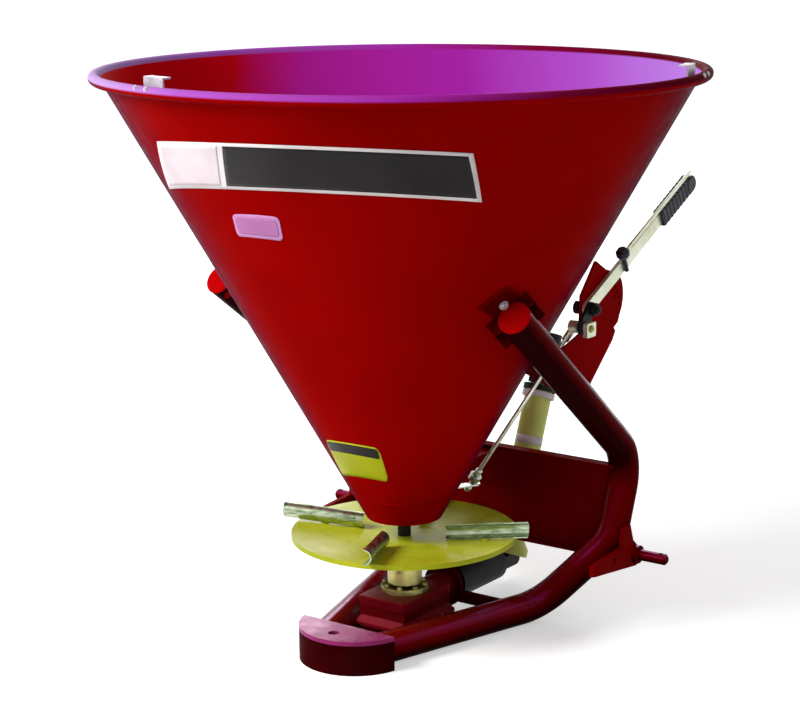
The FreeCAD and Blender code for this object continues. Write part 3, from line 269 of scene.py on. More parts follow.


# The hopper's inside carries a painted reflection that runs from red to violet along ACROSS, as (share of
# the reach, colour) stops. It wanders by a noise, and the lip has painted reflection tones of its own between
# the heights LIP_FROM and LIP_TO.
ACROSS = (0.586, -0.811, 0)
INSIDE_REFLECTION_REACH, INSIDE_REFLECTION_WANDER = 0.55, 0.06
INSIDE_REFLECTION = [
    (0.00, (0.600, 0.0010, 0.003)), (0.18, (0.540, 0.0014, 0.008)), (0.32, (0.400, 0.012, 0.270)),
    (0.62, (0.330, 0.016, 0.330)), (0.85, (0.370, 0.070, 0.500)), (1.00, (0.420, 0.180, 0.640)),
]
LIP_REFLECTION_TONES = [
    (0.00, (0.46, 0.33, 0.56)), (0.20, (0.36, 0.08, 0.44)), (0.55, (0.34, 0.018, 0.32)),
    (0.78, (0.19, 0.002, 0.03)), (1.00, (0.10, 0.0008, 0.006)),
]
LIP_REACH = (-0.58, 0.50)
LIP_FROM, LIP_TO = LIP_Z - 0.0115, LIP_Z - 0.0085


def hopper_paint():
    """The cone: red outside, with a painted violet reflection on its inside and on the rolled lip, and painted
    dark shade at grazing angles.
    """
    # the edge tone is a painted dark violet shade at the cone's grazing edges
    paint = painted("hopper_paint", (0.290, 0.0008, 0.0004), (0.240, 0.0004, 0.0004), 0.36, 0.0015, 0.0015,
                    under=1, edge=(0.020, 0.0002, 0.024), chips=0.82, grime=False)
    outside = paint.bsdf.inputs["Base Color"].links[0].from_socket
    geometry = paint.add("ShaderNodeNewGeometry")
    place, normal = geometry.outputs["Position"], geometry.outputs["Normal"]
    away_from_axis = paint.vector("MULTIPLY", place, (1, 1, 0)).outputs[0]
    looks_out = paint.vector("DOT_PRODUCT", away_from_axis, normal).outputs["Value"]
    inside = paint.level(looks_out, 0.0, -0.01)
    # painted reflection on the inside, from red to violet along ACROSS
    across = paint.vector("DOT_PRODUCT", place, ACROSS).outputs["Value"]
    drift = paint.level(paint.noise(scale=2.2, detail=3), 0, 1, -INSIDE_REFLECTION_WANDER, INSIDE_REFLECTION_WANDER)
    inside_reflection = paint.ramp(paint.level(paint.math("ADD", across, drift), -INSIDE_REFLECTION_REACH, INSIDE_REFLECTION_REACH), INSIDE_REFLECTION)
    body = paint.mix(inside, outside, inside_reflection)
    # painted reflection on the rolled lip
    lip = paint.ramp(paint.level(across, *LIP_REACH), LIP_REFLECTION_TONES)
    paint.colour(paint.mix(paint.level(paint.height(place), LIP_FROM, LIP_TO), body, lip))
    return paint.mat


# ---- the materials: name, colour, dark tone, roughness ----
HOPPER = hopper_paint()
RED = painted("red_paint", (0.250, 0.0008, 0.0008), (0.185, 0.0004, 0.0006)).mat
# a brighter copy of the red paint for the quadrant plate: painted light
LIT_PLATE = painted("lit_plate_paint", (0.360, 0.0008, 0.0008), (0.280, 0.0004, 0.0006)).mat
PANEL = painted("panel_paint", (0.230, 0.0006, 0.0006), (0.150, 0.0004, 0.0004), 0.38, under=0.3).mat
# painted shade on the tubes' undersides and at their grazing edges
TUBE = painted("tube_paint", (0.235, 0.0006, 0.0008), (0.170, 0.0004, 0.0006), 0.22, sheen=0.70,
               tint=(0.70, 0.12, 1.0), under=0.10, turn=(-0.40, 0.55), edge=(0.020, 0.0004, 0.006)).mat
CAP = painted("cap_paint", (0.430, 0.0012, 0.0020), (0.340, 0.0006, 0.0010), under=1, grime=False).mat
# a darker copy of the red paint: painted shade on the carrier bar and the arm brackets
SHADED_RED = painted("shaded_red_paint", (0.120, 0.0006, 0.0006), (0.065, 0.0003, 0.0006), 0.38, under=0.25).mat
# a near-black copy of the red paint: painted shade on the nose skirt and in the recess at the gearbox base
SHADE_DARK = painted("shade_dark_paint", (0.060, 0.0006, 0.0012), (0.022, 0.0004, 0.0008), 0.36, under=0.4).mat
# a pink-violet copy of the red paint: painted sky reflection on the nose's top and foot
NOSE_REFLECTION = painted("nose_reflection_paint", (0.420, 0.045, 0.230), (0.300, 0.018, 0.110), 0.30, 0.10, 0.9,
               tint=(1.0, 0.55, 0.95)).mat
CAST = painted("cast_red", (0.210, 0.003, 0.005), (0.120, 0.001, 0.003), 0.50, 0.02, 0.12,
               tint=(1.0, 0.35, 0.5), chips=0.66).mat
# a lighter pinkish copy of the cast red: painted highlights on the casting's steps
CAST_HIGHLIGHT = painted("cast_highlight", (0.260, 0.005, 0.012), (0.170, 0.002, 0.006), 0.42, 0.02, 0.2,
               tint=(1.0, 0.4, 0.6)).mat
YELLOW = painted("disc_yellow", (0.600, 0.640, 0.030), (0.380, 0.410, 0.006), 0.30, 0.10, 0.25,
                 tint=(1.0, 1.0, 0.5), under=0.5, chips=0.76, grime=False).mat
ZINC = metal("zinc", (0.80, 0.83, 0.76), (0.46, 0.50, 0.42), 0.34, spots=(0.30, 0.34, 0.22))
VANE = metal("vane_zinc", (0.58, 0.66, 0.48), (0.14, 0.22, 0.10), 0.30,
             brushed=(3, 3, 14), spots=(0.12, 0.17, 0.08))
CREAM = metal("lever_zinc", (0.86, 0.88, 0.74), (0.60, 0.64, 0.44), 0.38,
              spots=(0.44, 0.42, 0.22), metallic=0.75)
GOLD = metal("gold_zinc", (0.62, 0.55, 0.20), (0.20, 0.20, 0.06), 0.34, spots=(0.10, 0.08, 0.03))
CLIP = metal("clip_zinc", (0.66, 0.64, 0.66), (0.34, 0.30, 0.34), 0.42,
             spots=(0.30, 0.08, 0.14), metallic=0.6)
BLACK = plastic("black_steel", (0.022, 0.020, 0.022), (0.006, 0.005, 0.006), 0.42)
RUBBER = plastic("black_plastic", (0.020, 0.020, 0.026), (0.007, 0.007, 0.010), 0.46)
GRIP = plastic("grip_black", (0.012, 0.012, 0.026), (0.004, 0.004, 0.010), 0.30, shine=0.2)
GUARD = plastic("guard_olive", (0.720, 0.800, 0.220), (0.480, 0.540, 0.090), 0.44, streak=(2, 2, 0.6))
BAND = plastic("guard_black", (0.018, 0.018, 0.014), (0.008, 0.008, 0.006), 0.5)
LABEL_BLACK = plastic("label_black", (0.018, 0.016, 0.016), (0.010, 0.008, 0.010), 0.34)
LABEL_WHITE = plastic("label_white", (0.80, 0.76, 0.74), (0.66, 0.60, 0.60), 0.36)
LABEL_PALE = plastic("label_pale", (0.74, 0.66, 0.68), (0.60, 0.50, 0.54), 0.36)
LABEL_PINK = plastic("label_pink", (0.62, 0.30, 0.56), (0.50, 0.20, 0.44), 0.36)
LABEL_LILAC = plastic("label_lilac", (0.50, 0.20, 0.44), (0.40, 0.13, 0.34), 0.36)
LABEL_YELLOW = plastic("label_yellow", (0.44, 0.47, 0.010), (0.30, 0.32, 0.006), 0.36)

# A CAD node takes its own look, or else the look of its material slot.
# carrier_bar, the arm brackets, gearbox_base and nose_skirt take darker copies of the red paint as painted shade,
# nose_top and nose_foot a pink-violet copy as painted reflection, and quadrant_plate a brighter copy as painted
# light
NODE_LOOKS = {
    "hopper": HOPPER, "rim_clip_1": CLIP, "rim_clip_2": CLIP,
    "spinner_disc": YELLOW, "spinner_hub": GOLD,
    "vane_1": VANE, "vane_2": VANE, "vane_3": VANE, "vane_4": VANE,
    "gearbox": CAST, "gearbox_base": SHADE_DARK, "gearbox_cap": GOLD, "carrier_bar": SHADED_RED,
    "side_tube_left": TUBE, "side_tube_right": TUBE, "link_pin_left": TUBE, "link_pin_right": TUBE,
    "arm_bracket_left": SHADED_RED, "arm_bracket_right": SHADED_RED,
    "nose_top": NOSE_REFLECTION, "nose_skirt": SHADE_DARK, "nose_foot": NOSE_REFLECTION,
    "cross_panel": PANEL, "quadrant_plate": LIT_PLATE,
    "lever_bar": CREAM, "rod_socket": CREAM, "lever_crank": BLACK, "lever_grip": GRIP, "latch_knob": GRIP,
    "input_shield": RUBBER, "guard_lower": GUARD, "guard_upper": GUARD,
}
SLOT_LOOKS = {
    "red_paint": RED, "cast_red": CAST, "yellow_paint": YELLOW, "zinc": ZINC, "gold_zinc": GOLD,
    "black_steel": BLACK, "black_plastic": RUBBER, "guard_plastic": GUARD,
}
for part in frame["record"]["subparts"]:
    mesh = frame["nodes"][part["node"]].data
    mesh.materials.clear()
    mesh.materials.append(NODE_LOOKS.get(part["node"], SLOT_LOOKS[part["material_slot"]]))


# ---- mesh helpers ----
SHARP = radians(35)                 # edges sharper than this aren't smoothed


def add_piece(name, bm, look, body):
    """Turns a finished bmesh into a piece that rides on a CAD body."""
    mesh = bpy.data.meshes.new(name)
    bmesh.ops.recalc_face_normals(bm, faces=bm.faces)
    bm.to_mesh(mesh)
    bm.free()
    mesh.shade_smooth()
    mesh.set_sharp_from_angle(angle=SHARP)
    mesh.materials.append(look)
    piece = bpy.data.objects.new(name, mesh)
    bpy.context.scene.collection.objects.link(piece)
    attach(piece, body)
    return piece


def basis(at, normal, spin=0.0):
    """A matrix at a point whose Z is the normal, spun about it."""
    z = Vector(normal).normalized()
    x = z.orthogonal().normalized()
    matrix = Matrix((x, z.cross(x), z)).transposed().to_4x4()
    matrix.translation = Vector(at)
    return matrix @ Matrix.Rotation(spin, 4, "Z")


def circle(radius, steps, height=0.0):
    """Points round Z, or one point where the radius is none."""
    if not radius:
        return [Vector((0, 0, height))]
    angles = [2 * pi * k / steps for k in range(steps)]
    return [Vector((radius * cos(angle), radius * sin(angle), height)) for angle in angles]


def bridge(bm, low, high):
    """Faces between two closed rings, either of which may be a single point."""
    steps = max(len(low), len(high))
    for k in range(steps):
        j = (k + 1) % steps
        if len(low) == 1:
            bm.faces.new((low[0], high[k], high[j]))
        elif len(high) == 1:
            bm.faces.new((low[k], low[j], high[0]))
        else:
            bm.faces.new((low[k], low[j], high[j], high[k]))


def lathe(bm, matrix, profile, steps):
    """Turns (radius, height) pairs round the matrix's Z."""
    rings = [[bm.verts.new(matrix @ p) for p in circle(r, steps, h)] for r, h in profile]
    for low, high in zip(rings, rings[1:]):
        bridge(bm, low, high)


def loft(bm, rings):
    """Skins closed rings of the same count, and caps both ends."""
    rings = [[bm.verts.new(p) for p in ring] for ring in rings]
    for low, high in zip(rings, rings[1:]):
        bridge(bm, low, high)
    bm.faces.new(list(reversed(rings[0])))
    bm.faces.new(rings[-1])


def film(name, rows, look, body, thickness, offset):
    """A thin film through rows of points; offset is -1 to thicken it inwards and 0 both ways."""
    bm = bmesh.new()
    grid = [[bm.verts.new(p) for p in row] for row in rows]
    for low, high in zip(grid, grid[1:]):
        for i in range(len(low) - 1):
            bm.faces.new((low[i], low[i + 1], high[i + 1], high[i]))
    piece = add_piece(name, bm, look, body)
    thick = piece.modifiers.new("film", "SOLIDIFY")
    thick.thickness, thick.offset = thickness, offset


def rounded(half_x, half_y, corner, steps=6):
    """A rounded rectangle's points, anticlockwise."""
    points = []
    for quarter, (sign_x, sign_y) in enumerate(((1, 1), (-1, 1), (-1, -1), (1, -1))):
        for k in range(steps + 1):
            angle = pi / 2 * (quarter + k / steps)
            points.append((sign_x * (half_x - corner) + corner * cos(angle),
                           sign_y * (half_y - corner) + corner * sin(angle)))
    return points


# A bolt's profiles, as (radius, height) in shares of its head's radius, with the steps round each.
BOLT_PROFILES = (
    ([(0, 0), (1.15, 0), (1.15, 0.14), (0.60, 0.15)], 24),
    ([(0.92, 0.14), (1.00, 0.20), (1.00, 0.558), (0.84, 0.76), (0, 0.78)], 6),
    ([(0.42, 0.62), (0.42, 0.96), (0, 1.00)], 12),
)
BOLT_SPIN = 0.3                     # the first bolt's turn in radians; each next one is a radian on


def bolts(name, places, look, body, size):
    """Bolts at (point, normal) places: washer, chamfered hexagon head and thread end. size is the head's."""
    bm = bmesh.new()
    for index, (at, normal) in enumerate(places):
        matrix = basis(at, normal, BOLT_SPIN + index)
        for profile, steps in BOLT_PROFILES:
            lathe(bm, matrix, [(r * size, h * size) for r, h in profile], steps)
    add_piece(name, bm, look, body)


# ---- stickers on the cone, all blank ----
# A sticker's edge runs from one turn to another, in degrees, and bows through a middle height.
Edge = namedtuple("Edge", "turn_start turn_end z_start z_middle z_end")
BANNER = (Edge(147.2, 233.0, 0.8903, 0.9210, 0.9021), Edge(158.4, 229.3, 0.9879, 1.0036, 0.9898))
SIZE_LABEL = (Edge(171.8, 186.4, 0.8266, 0.8285, 0.8277), Edge(173.5, 187.4, 0.8687, 0.8730, 0.8725))
YELLOW_LABEL = (Edge(151.0, 203.6, 0.3300, 0.3420, 0.3382), Edge(158.0, 200.6, 0.4110, 0.4180, 0.4141))
YELLOW_HEAD = (Edge(157.0, 200.0, 0.3880, 0.3940, 0.3895), Edge(158.8, 199.6, 0.4080, 0.4148, 0.4111))
GROUND_LIFT, FIELD_LIFT = 0.0006, 0.0011
STICKER_THICK = 0.0003
STICKER_STEPS, STICKER_ROWS = 48, 12
CORNER_TRIM = 0.16                  # how much of a sticker's height a round corner takes off each edge
WHOLE = ((0, 1), (0, 1))


def edge_at(edge, share):
    """Turn and height at a share of an edge's length."""
    bow = 4 * share * (1 - share) * (edge.z_middle - (edge.z_start + edge.z_end) / 2)
    return Vector((edge.turn_start + (edge.turn_end - edge.turn_start) * share,
                   edge.z_start + (edge.z_end - edge.z_start) * share + bow))


def sticker(name, low, high, look, lift, span=WHOLE, inset=0.0, corner=0.0):
    """A sticker between its low and high edges.

    span gives the shares of each edge that it covers, inset the share left bare above and below it,
    and corner the share of its length that its round corners take at each end.
    """
    rows = []
    for j in range(STICKER_ROWS + 1):
        row = []
        for i in range(STICKER_STEPS + 1):
            along = i / STICKER_STEPS
            across = inset + (1 - 2 * inset) * j / STICKER_ROWS
            if corner:
                cut = max(0.0, 1 - min(along, 1 - along) / corner)
                trim = CORNER_TRIM * (1 - sqrt(max(0.0, 1 - cut * cut)))
                across = trim + across * (1 - 2 * trim)
            ends = [edge_at(edge, a + (b - a) * along) for edge, (a, b) in zip((low, high), span)]
            turn, z = ends[0].lerp(ends[1], across)
            row.append(cone_point(turn, z, lift))
        rows.append(row)
    film(name, rows, look, "chassis", STICKER_THICK, -1)


sticker("banner_border", *BANNER, LABEL_WHITE, GROUND_LIFT)
sticker("banner_field", *BANNER, LABEL_BLACK, FIELD_LIFT, ((0.335, 0.988), (0.305, 0.985)), 0.07)
sticker("banner_square", *BANNER, LABEL_PALE, FIELD_LIFT, ((0.022, 0.315), (0.025, 0.285)), 0.07)
sticker("size_label", *SIZE_LABEL, LABEL_PINK, GROUND_LIFT, corner=0.10)
sticker("size_label_field", *SIZE_LABEL, LABEL_LILAC, FIELD_LIFT, ((0.06, 0.94), (0.06, 0.94)), 0.14, 0.10)
sticker("yellow_label", *YELLOW_LABEL, LABEL_YELLOW, GROUND_LIFT, corner=0.07)
sticker("yellow_label_head", *YELLOW_HEAD, LABEL_BLACK, FIELD_LIFT, corner=0.05)

# ---- fasteners of the rim clips and the gearbox ----
CLIP_FACE = LIP_R + 0.0100          # the clips' outer face, from the cone's axis
CLIP_RIVET_Z = LIP_Z - 0.004
CLIP_RIVET_OFF = 0.016              # each rivet's distance from its clip's middle
CAP_BOLTS, CAP_BOLT_RING, CAP_BOLT_START = 8, 0.039, 20
BASE_BOLT_X, BASE_BOLT_Y = (-0.066, 0.036), 0.062


def rim_clip_rivets(number):
    low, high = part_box("rim_clip_%d" % number)
    middle = (low + high) / 2
    outward = Vector((middle.x, middle.y, 0)).normalized()
    along_rim = Vector((-outward.y, outward.x, 0))
    seat = outward * CLIP_FACE + UP * CLIP_RIVET_Z
    places = [(seat + along_rim * off, outward) for off in (-CLIP_RIVET_OFF, CLIP_RIVET_OFF)]
    bolts("rim_clip_%d_rivets" % number, places, CLIP, "chassis", size=0.0045)


def cap_bolts():
    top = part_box("gearbox_cap")[1].z
    turn = Matrix.Rotation(radians(CAP_BOLT_START), 4, "Z")
    places = [(turn @ point, UP) for point in circle(CAP_BOLT_RING, CAP_BOLTS, top)]
    bolts("cap_bolts", places, GOLD, "chassis", size=0.0050)


def base_bolts():
    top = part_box("gearbox_base")[1].z
    places = [(Vector((x, y, top)), UP) for x in BASE_BOLT_X for y in (-BASE_BOLT_Y, BASE_BOLT_Y)]
    bolts("base_bolts", places, CLIP, "chassis", size=0.0085)


rim_clip_rivets(1)
rim_clip_rivets(2)
cap_bolts()
base_bolts()

# ---- steps of the gearbox casting ----
CASTING_X, CASTING_Y, CASTING_CORNER = 0.075, 0.052, 0.008
# Each step is (how far it stands out, z) pairs, from its foot to its top.
FOOT_STEP = [(0.008, 0.0282), (0.010, 0.0300), (0.010, 0.0360), (0.008, 0.0380), (0.0004, 0.0480)]
RIM_STEP = [(0.0004, 0.0660), (0.0026, 0.0672), (0.0030, 0.0700), (0.0030, 0.0850), (0.0012, 0.0868),
            (-0.010, 0.0873)]


def casting_step(name, profile):
    bm = bmesh.new()
    loft(bm, [[Vector((x, y, z)) for x, y in rounded(CASTING_X + out, CASTING_Y + out, CASTING_CORNER)]
              for out, z in profile])
    # the steps take the cast red's lighter copy as painted highlights
    add_piece(name, bm, CAST_HIGHLIGHT, "chassis")


casting_step("casting_foot", FOOT_STEP)
casting_step("casting_rim", RIM_STEP)

# ---- the arms' end caps, the pads behind them and their bolts ----
# The arm's rear end and its shoulder, on the left, as in the CAD part.
ARM_END, ARM_SHOULDER = (-0.132, 0.333, 0.681), (0.336, 0.298, 0.323)
ARM_CAP = [(0, -0.001), (0.0300, -0.001), (0.0306, 0.0010), (0.0298, 0.0028), (0.0270, 0.0038),
           (0.0110, 0.0046), (0, 0.0048)]
PAD_CORNERS = [Vector(p) for p in ((121.5, 0.702), (114.0, 0.738), (104.5, 0.708), (111.0, 0.668))]
PAD_MIDDLE = sum(PAD_CORNERS, Vector((0, 0))) / len(PAD_CORNERS)
PAD_LAYERS = ((0.0004, 1.0), (0.0050, 1.0), (0.0062, 0.965))
PAD_STEPS = 8
PAD_BOLT_TURN, PAD_BOLT_Z, PAD_BOLT_LIFT = 113.4, 0.7055, 0.006


def arm_cap(name, side):
    mirror = Vector((1, side, 1))
    end = Vector(ARM_END) * mirror
    bm = bmesh.new()
    lathe(bm, basis(end, end - Vector(ARM_SHOULDER) * mirror), ARM_CAP, steps=40)
    add_piece("arm_cap_" + name, bm, CAP, "chassis")


def arm_pad(name, side):
    """The pad on the cone under the arm's end: its corners are (turn, z), its layers (lift, share)."""
    rings = []
    for lift, share in PAD_LAYERS:
        ring = []
        for corner, following in zip(PAD_CORNERS, PAD_CORNERS[1:] + PAD_CORNERS[:1]):
            for k in range(PAD_STEPS):
                turn, z = PAD_MIDDLE.lerp(corner.lerp(following, k / PAD_STEPS), share)
                ring.append(cone_point(turn * side, z, lift))
        rings.append(ring)
    bm = bmesh.new()
    loft(bm, rings)
    add_piece("arm_pad_" + name, bm, RED, "chassis")


def arm_pad_bolt(name, side):
    turn = PAD_BOLT_TURN * side
    places = [(cone_point(turn, PAD_BOLT_Z, PAD_BOLT_LIFT), cone_normal(turn))]
    bolts("arm_pad_bolt_" + name, places, CLIP, "chassis", size=0.0080)


for name, side in SIDES:
    arm_cap(name, side)
    arm_pad(name, side)
    arm_pad_bolt(name, side)

# ---- the lever's fittings ----
# Points by the lever are (along it, across it) from its pivot, in its own plane.
PIVOT = Vector(JOINTS["lever_swing"]["pos_m"])
LEVER_RISE = radians(26.2)
ALONG = Vector((cos(LEVER_RISE), 0, sin(LEVER_RISE)))
OVER = Vector((-ALONG.z, 0, ALONG.x))
ROUND_STEPS = 10
SLAB_BEVEL, BEVEL_PULL = 0.0008, 1.4  # a slab's bevel, and how far its face is drawn in for each of it


def slab(bm, outline, y_near, y_far, bevel=SLAB_BEVEL):
    """A flat piece in the lever's plane with eased edges; y is measured from the lever's middle."""
    middle = sum((Vector(p) for p in outline), Vector((0, 0))) / len(outline)
    pull = bevel * BEVEL_PULL
    layers = ((y_near, pull), (y_near + bevel, 0), (y_far - bevel, 0), (y_far, pull))
    rings = []
    for y, ease in layers:
        eased = [Vector(p) - (Vector(p) - middle).normalized() * ease for p in outline]
        rings.append([PIVOT + ALONG * p.x + OVER * p.y - TO_RIGHT * y for p in eased])
    loft(bm, rings)


def stadium(start, stop, across, half):
    """An outline along the lever with round ends."""
    turns = [pi * (k / ROUND_STEPS - 0.5) for k in range(ROUND_STEPS + 1)]
    far_end = [(stop + half * cos(t), across + half * sin(t)) for t in turns]
    near_end = [(start - half * cos(t), across - half * sin(t)) for t in turns]
    return far_end + near_end


def rectangle(start, stop, low, high):
    return [(start, low), (stop, low), (stop, high), (start, high)]


STRIP_START, STRIP_STOP, STRIP_OVER, STRIP_HALF = 0.165, 0.428, 0.0235, 0.0032
STRIP_OUTER, STRIP_INNER = -0.0085, -0.0045
FOOT_START, FOOT_STOP, FOOT_LOW, FOOT_OUTER = 0.160, 0.176, 0.010, -0.0075


def latch_strip():
    """The strip over the lever that lifts the latch, with its foot on the lever."""
    bm = bmesh.new()
    slab(bm, stadium(STRIP_START, STRIP_STOP, STRIP_OVER, STRIP_HALF), STRIP_OUTER, STRIP_INNER)
    slab(bm, rectangle(FOOT_START, FOOT_STOP, FOOT_LOW, STRIP_OVER), FOOT_OUTER, STRIP_INNER)
    add_piece("latch_strip", bm, CREAM, "lever")


RIDGES, RIDGE_START, RIDGE_PITCH, RIDGE_WIDE = 9, 0.300, 0.0135, 0.0045
RIDGE_HALF, RIDGE_OUT = 0.0160, 0.0108
COLLAR_START, COLLAR_STOP, COLLAR_HALF, COLLAR_OUT, COLLAR_BEVEL = 0.418, 0.4215, 0.0165, 0.0115, 0.002


def grip_ridges():
    """Ridges round the grip, and the collar at its end."""
    bm = bmesh.new()
    for k in range(RIDGES):
        start = RIDGE_START + RIDGE_PITCH * k
        slab(bm, rectangle(start, start + RIDGE_WIDE, -RIDGE_HALF, RIDGE_HALF), -RIDGE_OUT, RIDGE_OUT)
    collar = stadium(COLLAR_START, COLLAR_STOP, 0.0, COLLAR_HALF)
    slab(bm, collar, -COLLAR_OUT, COLLAR_OUT, COLLAR_BEVEL)
    add_piece("grip_ridges", bm, GRIP, "lever")


CLEVIS = Vector((0.1090, 0, 0.6190))
CLEVIS_HALF_X, CLEVIS_HALF_Z, CLEVIS_CORNER = 0.0150, 0.0135, 0.003
CLEVIS_FACE, CLEVIS_BACK, CLEVIS_BEVEL, CLEVIS_EASE = -0.3465, -0.3355, 0.0010, 0.93
CLEVIS_PIN = CLEVIS + Vector((-0.004, CLEVIS_FACE, 0.003))


def clevis():
    """The block on the crank's ball that holds the rod's upper end, and its pin."""
    outline = rounded(CLEVIS_HALF_X, CLEVIS_HALF_Z, CLEVIS_CORNER)
    layers = ((CLEVIS_FACE, CLEVIS_EASE), (CLEVIS_FACE + CLEVIS_BEVEL, 1.0),
              (CLEVIS_BACK - CLEVIS_BEVEL, 1.0), (CLEVIS_BACK, CLEVIS_EASE))
    bm = bmesh.new()
    loft(bm, [[CLEVIS + Vector((x * share, y, z * share)) for x, z in outline] for y, share in layers])
    add_piece("clevis_block", bm, CREAM, "rod")
    bolts("clevis_pin", [(CLEVIS_PIN, TO_RIGHT)], GOLD, "rod", size=0.0062)


PLATE_RIVET_AT = (0.2505, -0.3151, 0.6885)
PLATE_RIVET = [(0, 0), (0.0072, 0), (0.0072, 0.0010), (0.0046, 0.0013), (0, 0.0013)]
PIVOT_NUT_Y = -0.3410


def plate_rivet():
    bm = bmesh.new()
    lathe(bm, basis(PLATE_RIVET_AT, TO_RIGHT), PLATE_RIVET, steps=24)
    add_piece("plate_rivet", bm, BLACK, "chassis")


def lever_pivot_nut():
    at = Vector((PIVOT.x, PIVOT_NUT_Y, PIVOT.z))
    bolts("lever_pivot_nut", [(at, TO_RIGHT)], BLACK, "chassis", size=0.0085)


latch_strip()
grip_ridges()
clevis()
plate_rivet()
lever_pivot_nut()

# ---- the drive shaft's guard: rings and a blank label ----
# Places along the drive shaft are measured from its lower joint. LABEL_HALF is half the label's turn, in
# degrees.
DRIVE_FOOT = Vector(JOINTS["drive_swing"]["pos_m"])
DRIVE = Vector(JOINTS["drive_slide"]["axis"]).normalized()
RING_ROUND, RING_BEVEL = 0.002, 0.0006
LABEL_START, LABEL_HIGH, LABEL_R, LABEL_HALF = 0.236, 0.017, 0.0287, 75
LABEL_FACES = Vector((-0.8, -0.6, 0.0))
LABEL_STEPS, LABEL_THICK = 30, 0.0004


def guard_ring(name, start, stop, radius, look):
    profile = [(radius - RING_ROUND, 0), (radius, RING_BEVEL), (radius, stop - start - RING_BEVEL),
               (radius - RING_ROUND, stop - start)]
    bm = bmesh.new()
    lathe(bm, basis(DRIVE_FOOT + DRIVE * start, DRIVE), profile, steps=48)
    add_piece(name, bm, look, "drive_upper")


def guard_label():
    """A label part of the way round the lower guard, on the side that LABEL_FACES points to."""
    matrix = basis(DRIVE_FOOT + DRIVE * LABEL_START, DRIVE)
    face = matrix.inverted().to_3x3() @ LABEL_FACES
    middle = atan2(face.y, face.x)
    turns = [middle + radians(LABEL_HALF * (2 * k / LABEL_STEPS - 1)) for k in range(LABEL_STEPS + 1)]
    rows = [[matrix @ Vector((LABEL_R * cos(t), LABEL_R * sin(t), z)) for t in turns]
            for z in (0, LABEL_HIGH)]
    film("guard_label", rows, LABEL_WHITE, "drive_lower", LABEL_THICK, 0)


guard_ring("guard_black_ring", 0.350, 0.362, 0.0345, BAND)
guard_ring("guard_cream_ring", 0.336, 0.348, 0.0343, LABEL_WHITE)
guard_label()

# ---- the cone's welds ----
RIPPLE = 0.0035                     # the length of a weld's ripple
# A ripple's height in shares of the bead's: every one, every other one more, and by chance; at the ends.
BEAD_LOW, BEAD_HIGHER, BEAD_WANDER, BEAD_END = 0.86, 0.20, 0.08, 0.4
SEAM_TURN, SEAM_LIFT = 20, 0.0006
SEAM_HEIGHTS = (0.262, 0.5, 0.75, 1.0, 1.072)
NECK_Z, NECK_LIFT, NECK_STEP = 0.2845, 0.0004, 6


def weld(name, line, radius, seed):
    """A weld bead along a line on the cone: a rippled ridge that thins out at both ends."""
    rng = Random(seed)
    points = []
    for start, stop in zip(line, line[1:]):
        count = max(2, int((stop - start).length / RIPPLE))
        points += [start.lerp(stop, k / count) for k in range(count)]
    points.append(line[-1])
    last = len(points) - 1
    bm = bmesh.new()
    previous = None
    for k, point in enumerate(points):
        ahead = points[min(k + 1, last)] - points[max(k - 1, 0)]
        ridge = radius * (BEAD_LOW + BEAD_HIGHER * (k % 2) + rng.uniform(-BEAD_WANDER, BEAD_WANDER))
        if k in (0, last):
            ridge *= BEAD_END
        matrix = basis(point, ahead)
        ring = [bm.verts.new(matrix @ p) for p in circle(ridge, 6)]
        if previous:
            bridge(bm, previous, ring)
        previous = ring
    add_piece(name, bm, HOPPER, "chassis")


SEAM = [cone_point(SEAM_TURN, z, SEAM_LIFT) for z in SEAM_HEIGHTS]
NECK = [cone_point(turn, NECK_Z, NECK_LIFT) for turn in range(0, 361, NECK_STEP)]
weld("hopper_seam", SEAM, radius=0.0016, seed=3)
weld("hopper_neck_seam", NECK, radius=0.0011, seed=4)

# ---- floor, world and lamps ----
FLOOR_RADIUS = 60
FLOOR_TONES = [(0.3, (0.86, 0.86, 0.86)), (0.7, (0.88, 0.88, 0.88))]
GLOW_NEAR, GLOW_FAR = (1.2, 0.46), (6.0, 0.85)    # the floor's glow as (distance, strength)
SKY, SKY_STRENGTH = (0.96, 0.95, 1.0, 1), 0.36
LAMP_TARGET = Vector((0, 0, 0.6))


def floor_white():
    """Nearly white, with a glow for direct rays that grows with distance and leaves the shadow near by."""
    white = Material("floor_white")
    white.colour(white.ramp(white.noise(scale=0.7, detail=2), FLOOR_TONES))
    white.set(Roughness=0.9, Specular_IOR_Level=0.0, Emission_Color=(1, 1, 1, 1))
    distance = white.vector("LENGTH", white.where).outputs["Value"]
    glow = white.level(distance, GLOW_NEAR[0], GLOW_FAR[0], GLOW_NEAR[1], GLOW_FAR[1])
    white.link(white.math("MULTIPLY", white.direct_ray(), glow), white.bsdf.inputs["Emission Strength"])
    return white.mat


def add_floor():
    bm = bmesh.new()
    bmesh.ops.create_circle(bm, cap_ends=True, radius=FLOOR_RADIUS, segments=96)
    mesh = bpy.data.meshes.new("floor")
    bm.to_mesh(mesh)
    bm.free()
    mesh.materials.append(floor_white())
    floor = bpy.data.objects.new("floor", mesh)
    bpy.context.scene.collection.objects.link(floor)


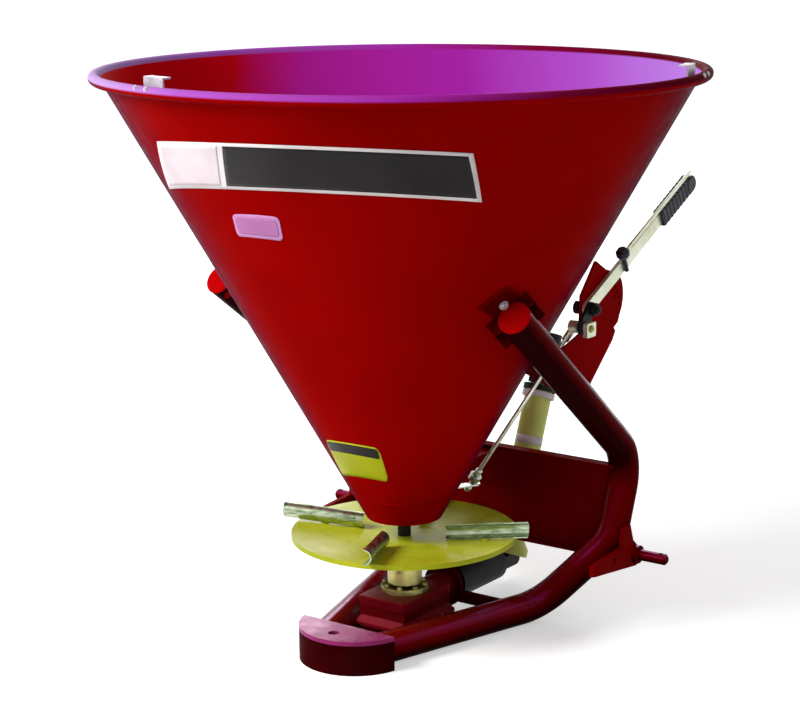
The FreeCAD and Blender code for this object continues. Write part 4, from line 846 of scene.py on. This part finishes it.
def add_world():
    """A soft sky for light, and plain white for direct rays."""
    world = bpy.data.worlds.new("world")
    world.use_nodes = True
    bpy.context.scene.world = world
    tree = Tree(world.node_tree)
    sky = tree.nodes["Background"]
    sky.inputs["Color"].default_value = SKY
    sky.inputs["Strength"].default_value = SKY_STRENGTH
    white = tree.add("ShaderNodeBackground")
    white.inputs["Strength"].default_value = 1.0
    blend = tree.add("ShaderNodeMixShader")
    tree.link(tree.direct_ray(), blend.inputs["Fac"])
    tree.link(sky.outputs[0], blend.inputs[1])
    tree.link(white.outputs[0], blend.inputs[2])
    tree.link(blend.outputs[0], tree.nodes["World Output"].inputs["Surface"])


def add_lamp(name, at, size, power):
    light = bpy.data.lights.new(name, "AREA")
    light.shape, light.size, light.energy = "DISK", size, power
    lamp = bpy.data.objects.new(name, light)
    lamp.location = at
    lamp.rotation_euler = (LAMP_TARGET - Vector(at)).to_track_quat("-Z", "Y").to_euler()
    bpy.context.scene.collection.objects.link(lamp)


add_floor()
add_world()
add_lamp("key", (-3.5, 2.0, 3.3), 2.2, 250)
add_lamp("fill", (-1.5, -4.5, 2.6), 3.0, 12)
add_lamp("rear", (3.4, 2.8, 2.8), 3.0, 70)

# ---- camera ----
CAMERA_AT = (-3.0655, -2.2145, 1.402)
PITCH, AZIMUTH, ROLL = 0.22484, 0.62561, -0.00838
SENSOR, FOCAL, SHIFT = 36.0, 92.69, -0.00372


def add_camera():
    """Looks down by PITCH at AZIMUTH from X, rolled by ROLL about its line of sight, all in radians."""
    camera = bpy.data.cameras.new("camera")
    camera.sensor_width, camera.lens, camera.shift_x = SENSOR, FOCAL, SHIFT
    ahead = Vector((cos(AZIMUTH) * cos(PITCH), sin(AZIMUTH) * cos(PITCH), -sin(PITCH)))
    level_right = Vector((sin(AZIMUTH), -cos(AZIMUTH), 0))
    level_up = level_right.cross(ahead)
    right = level_right * cos(ROLL) + level_up * sin(ROLL)
    up = level_up * cos(ROLL) - level_right * sin(ROLL)
    pose = Matrix((right, up, -ahead)).transposed().to_4x4()
    pose.translation = Vector(CAMERA_AT)
    view = bpy.data.objects.new("camera", camera)
    view.matrix_world = pose
    bpy.context.scene.collection.objects.link(view)
    bpy.context.scene.camera = view


add_camera()
bpy.context.scene.view_settings.view_transform = "Standard"
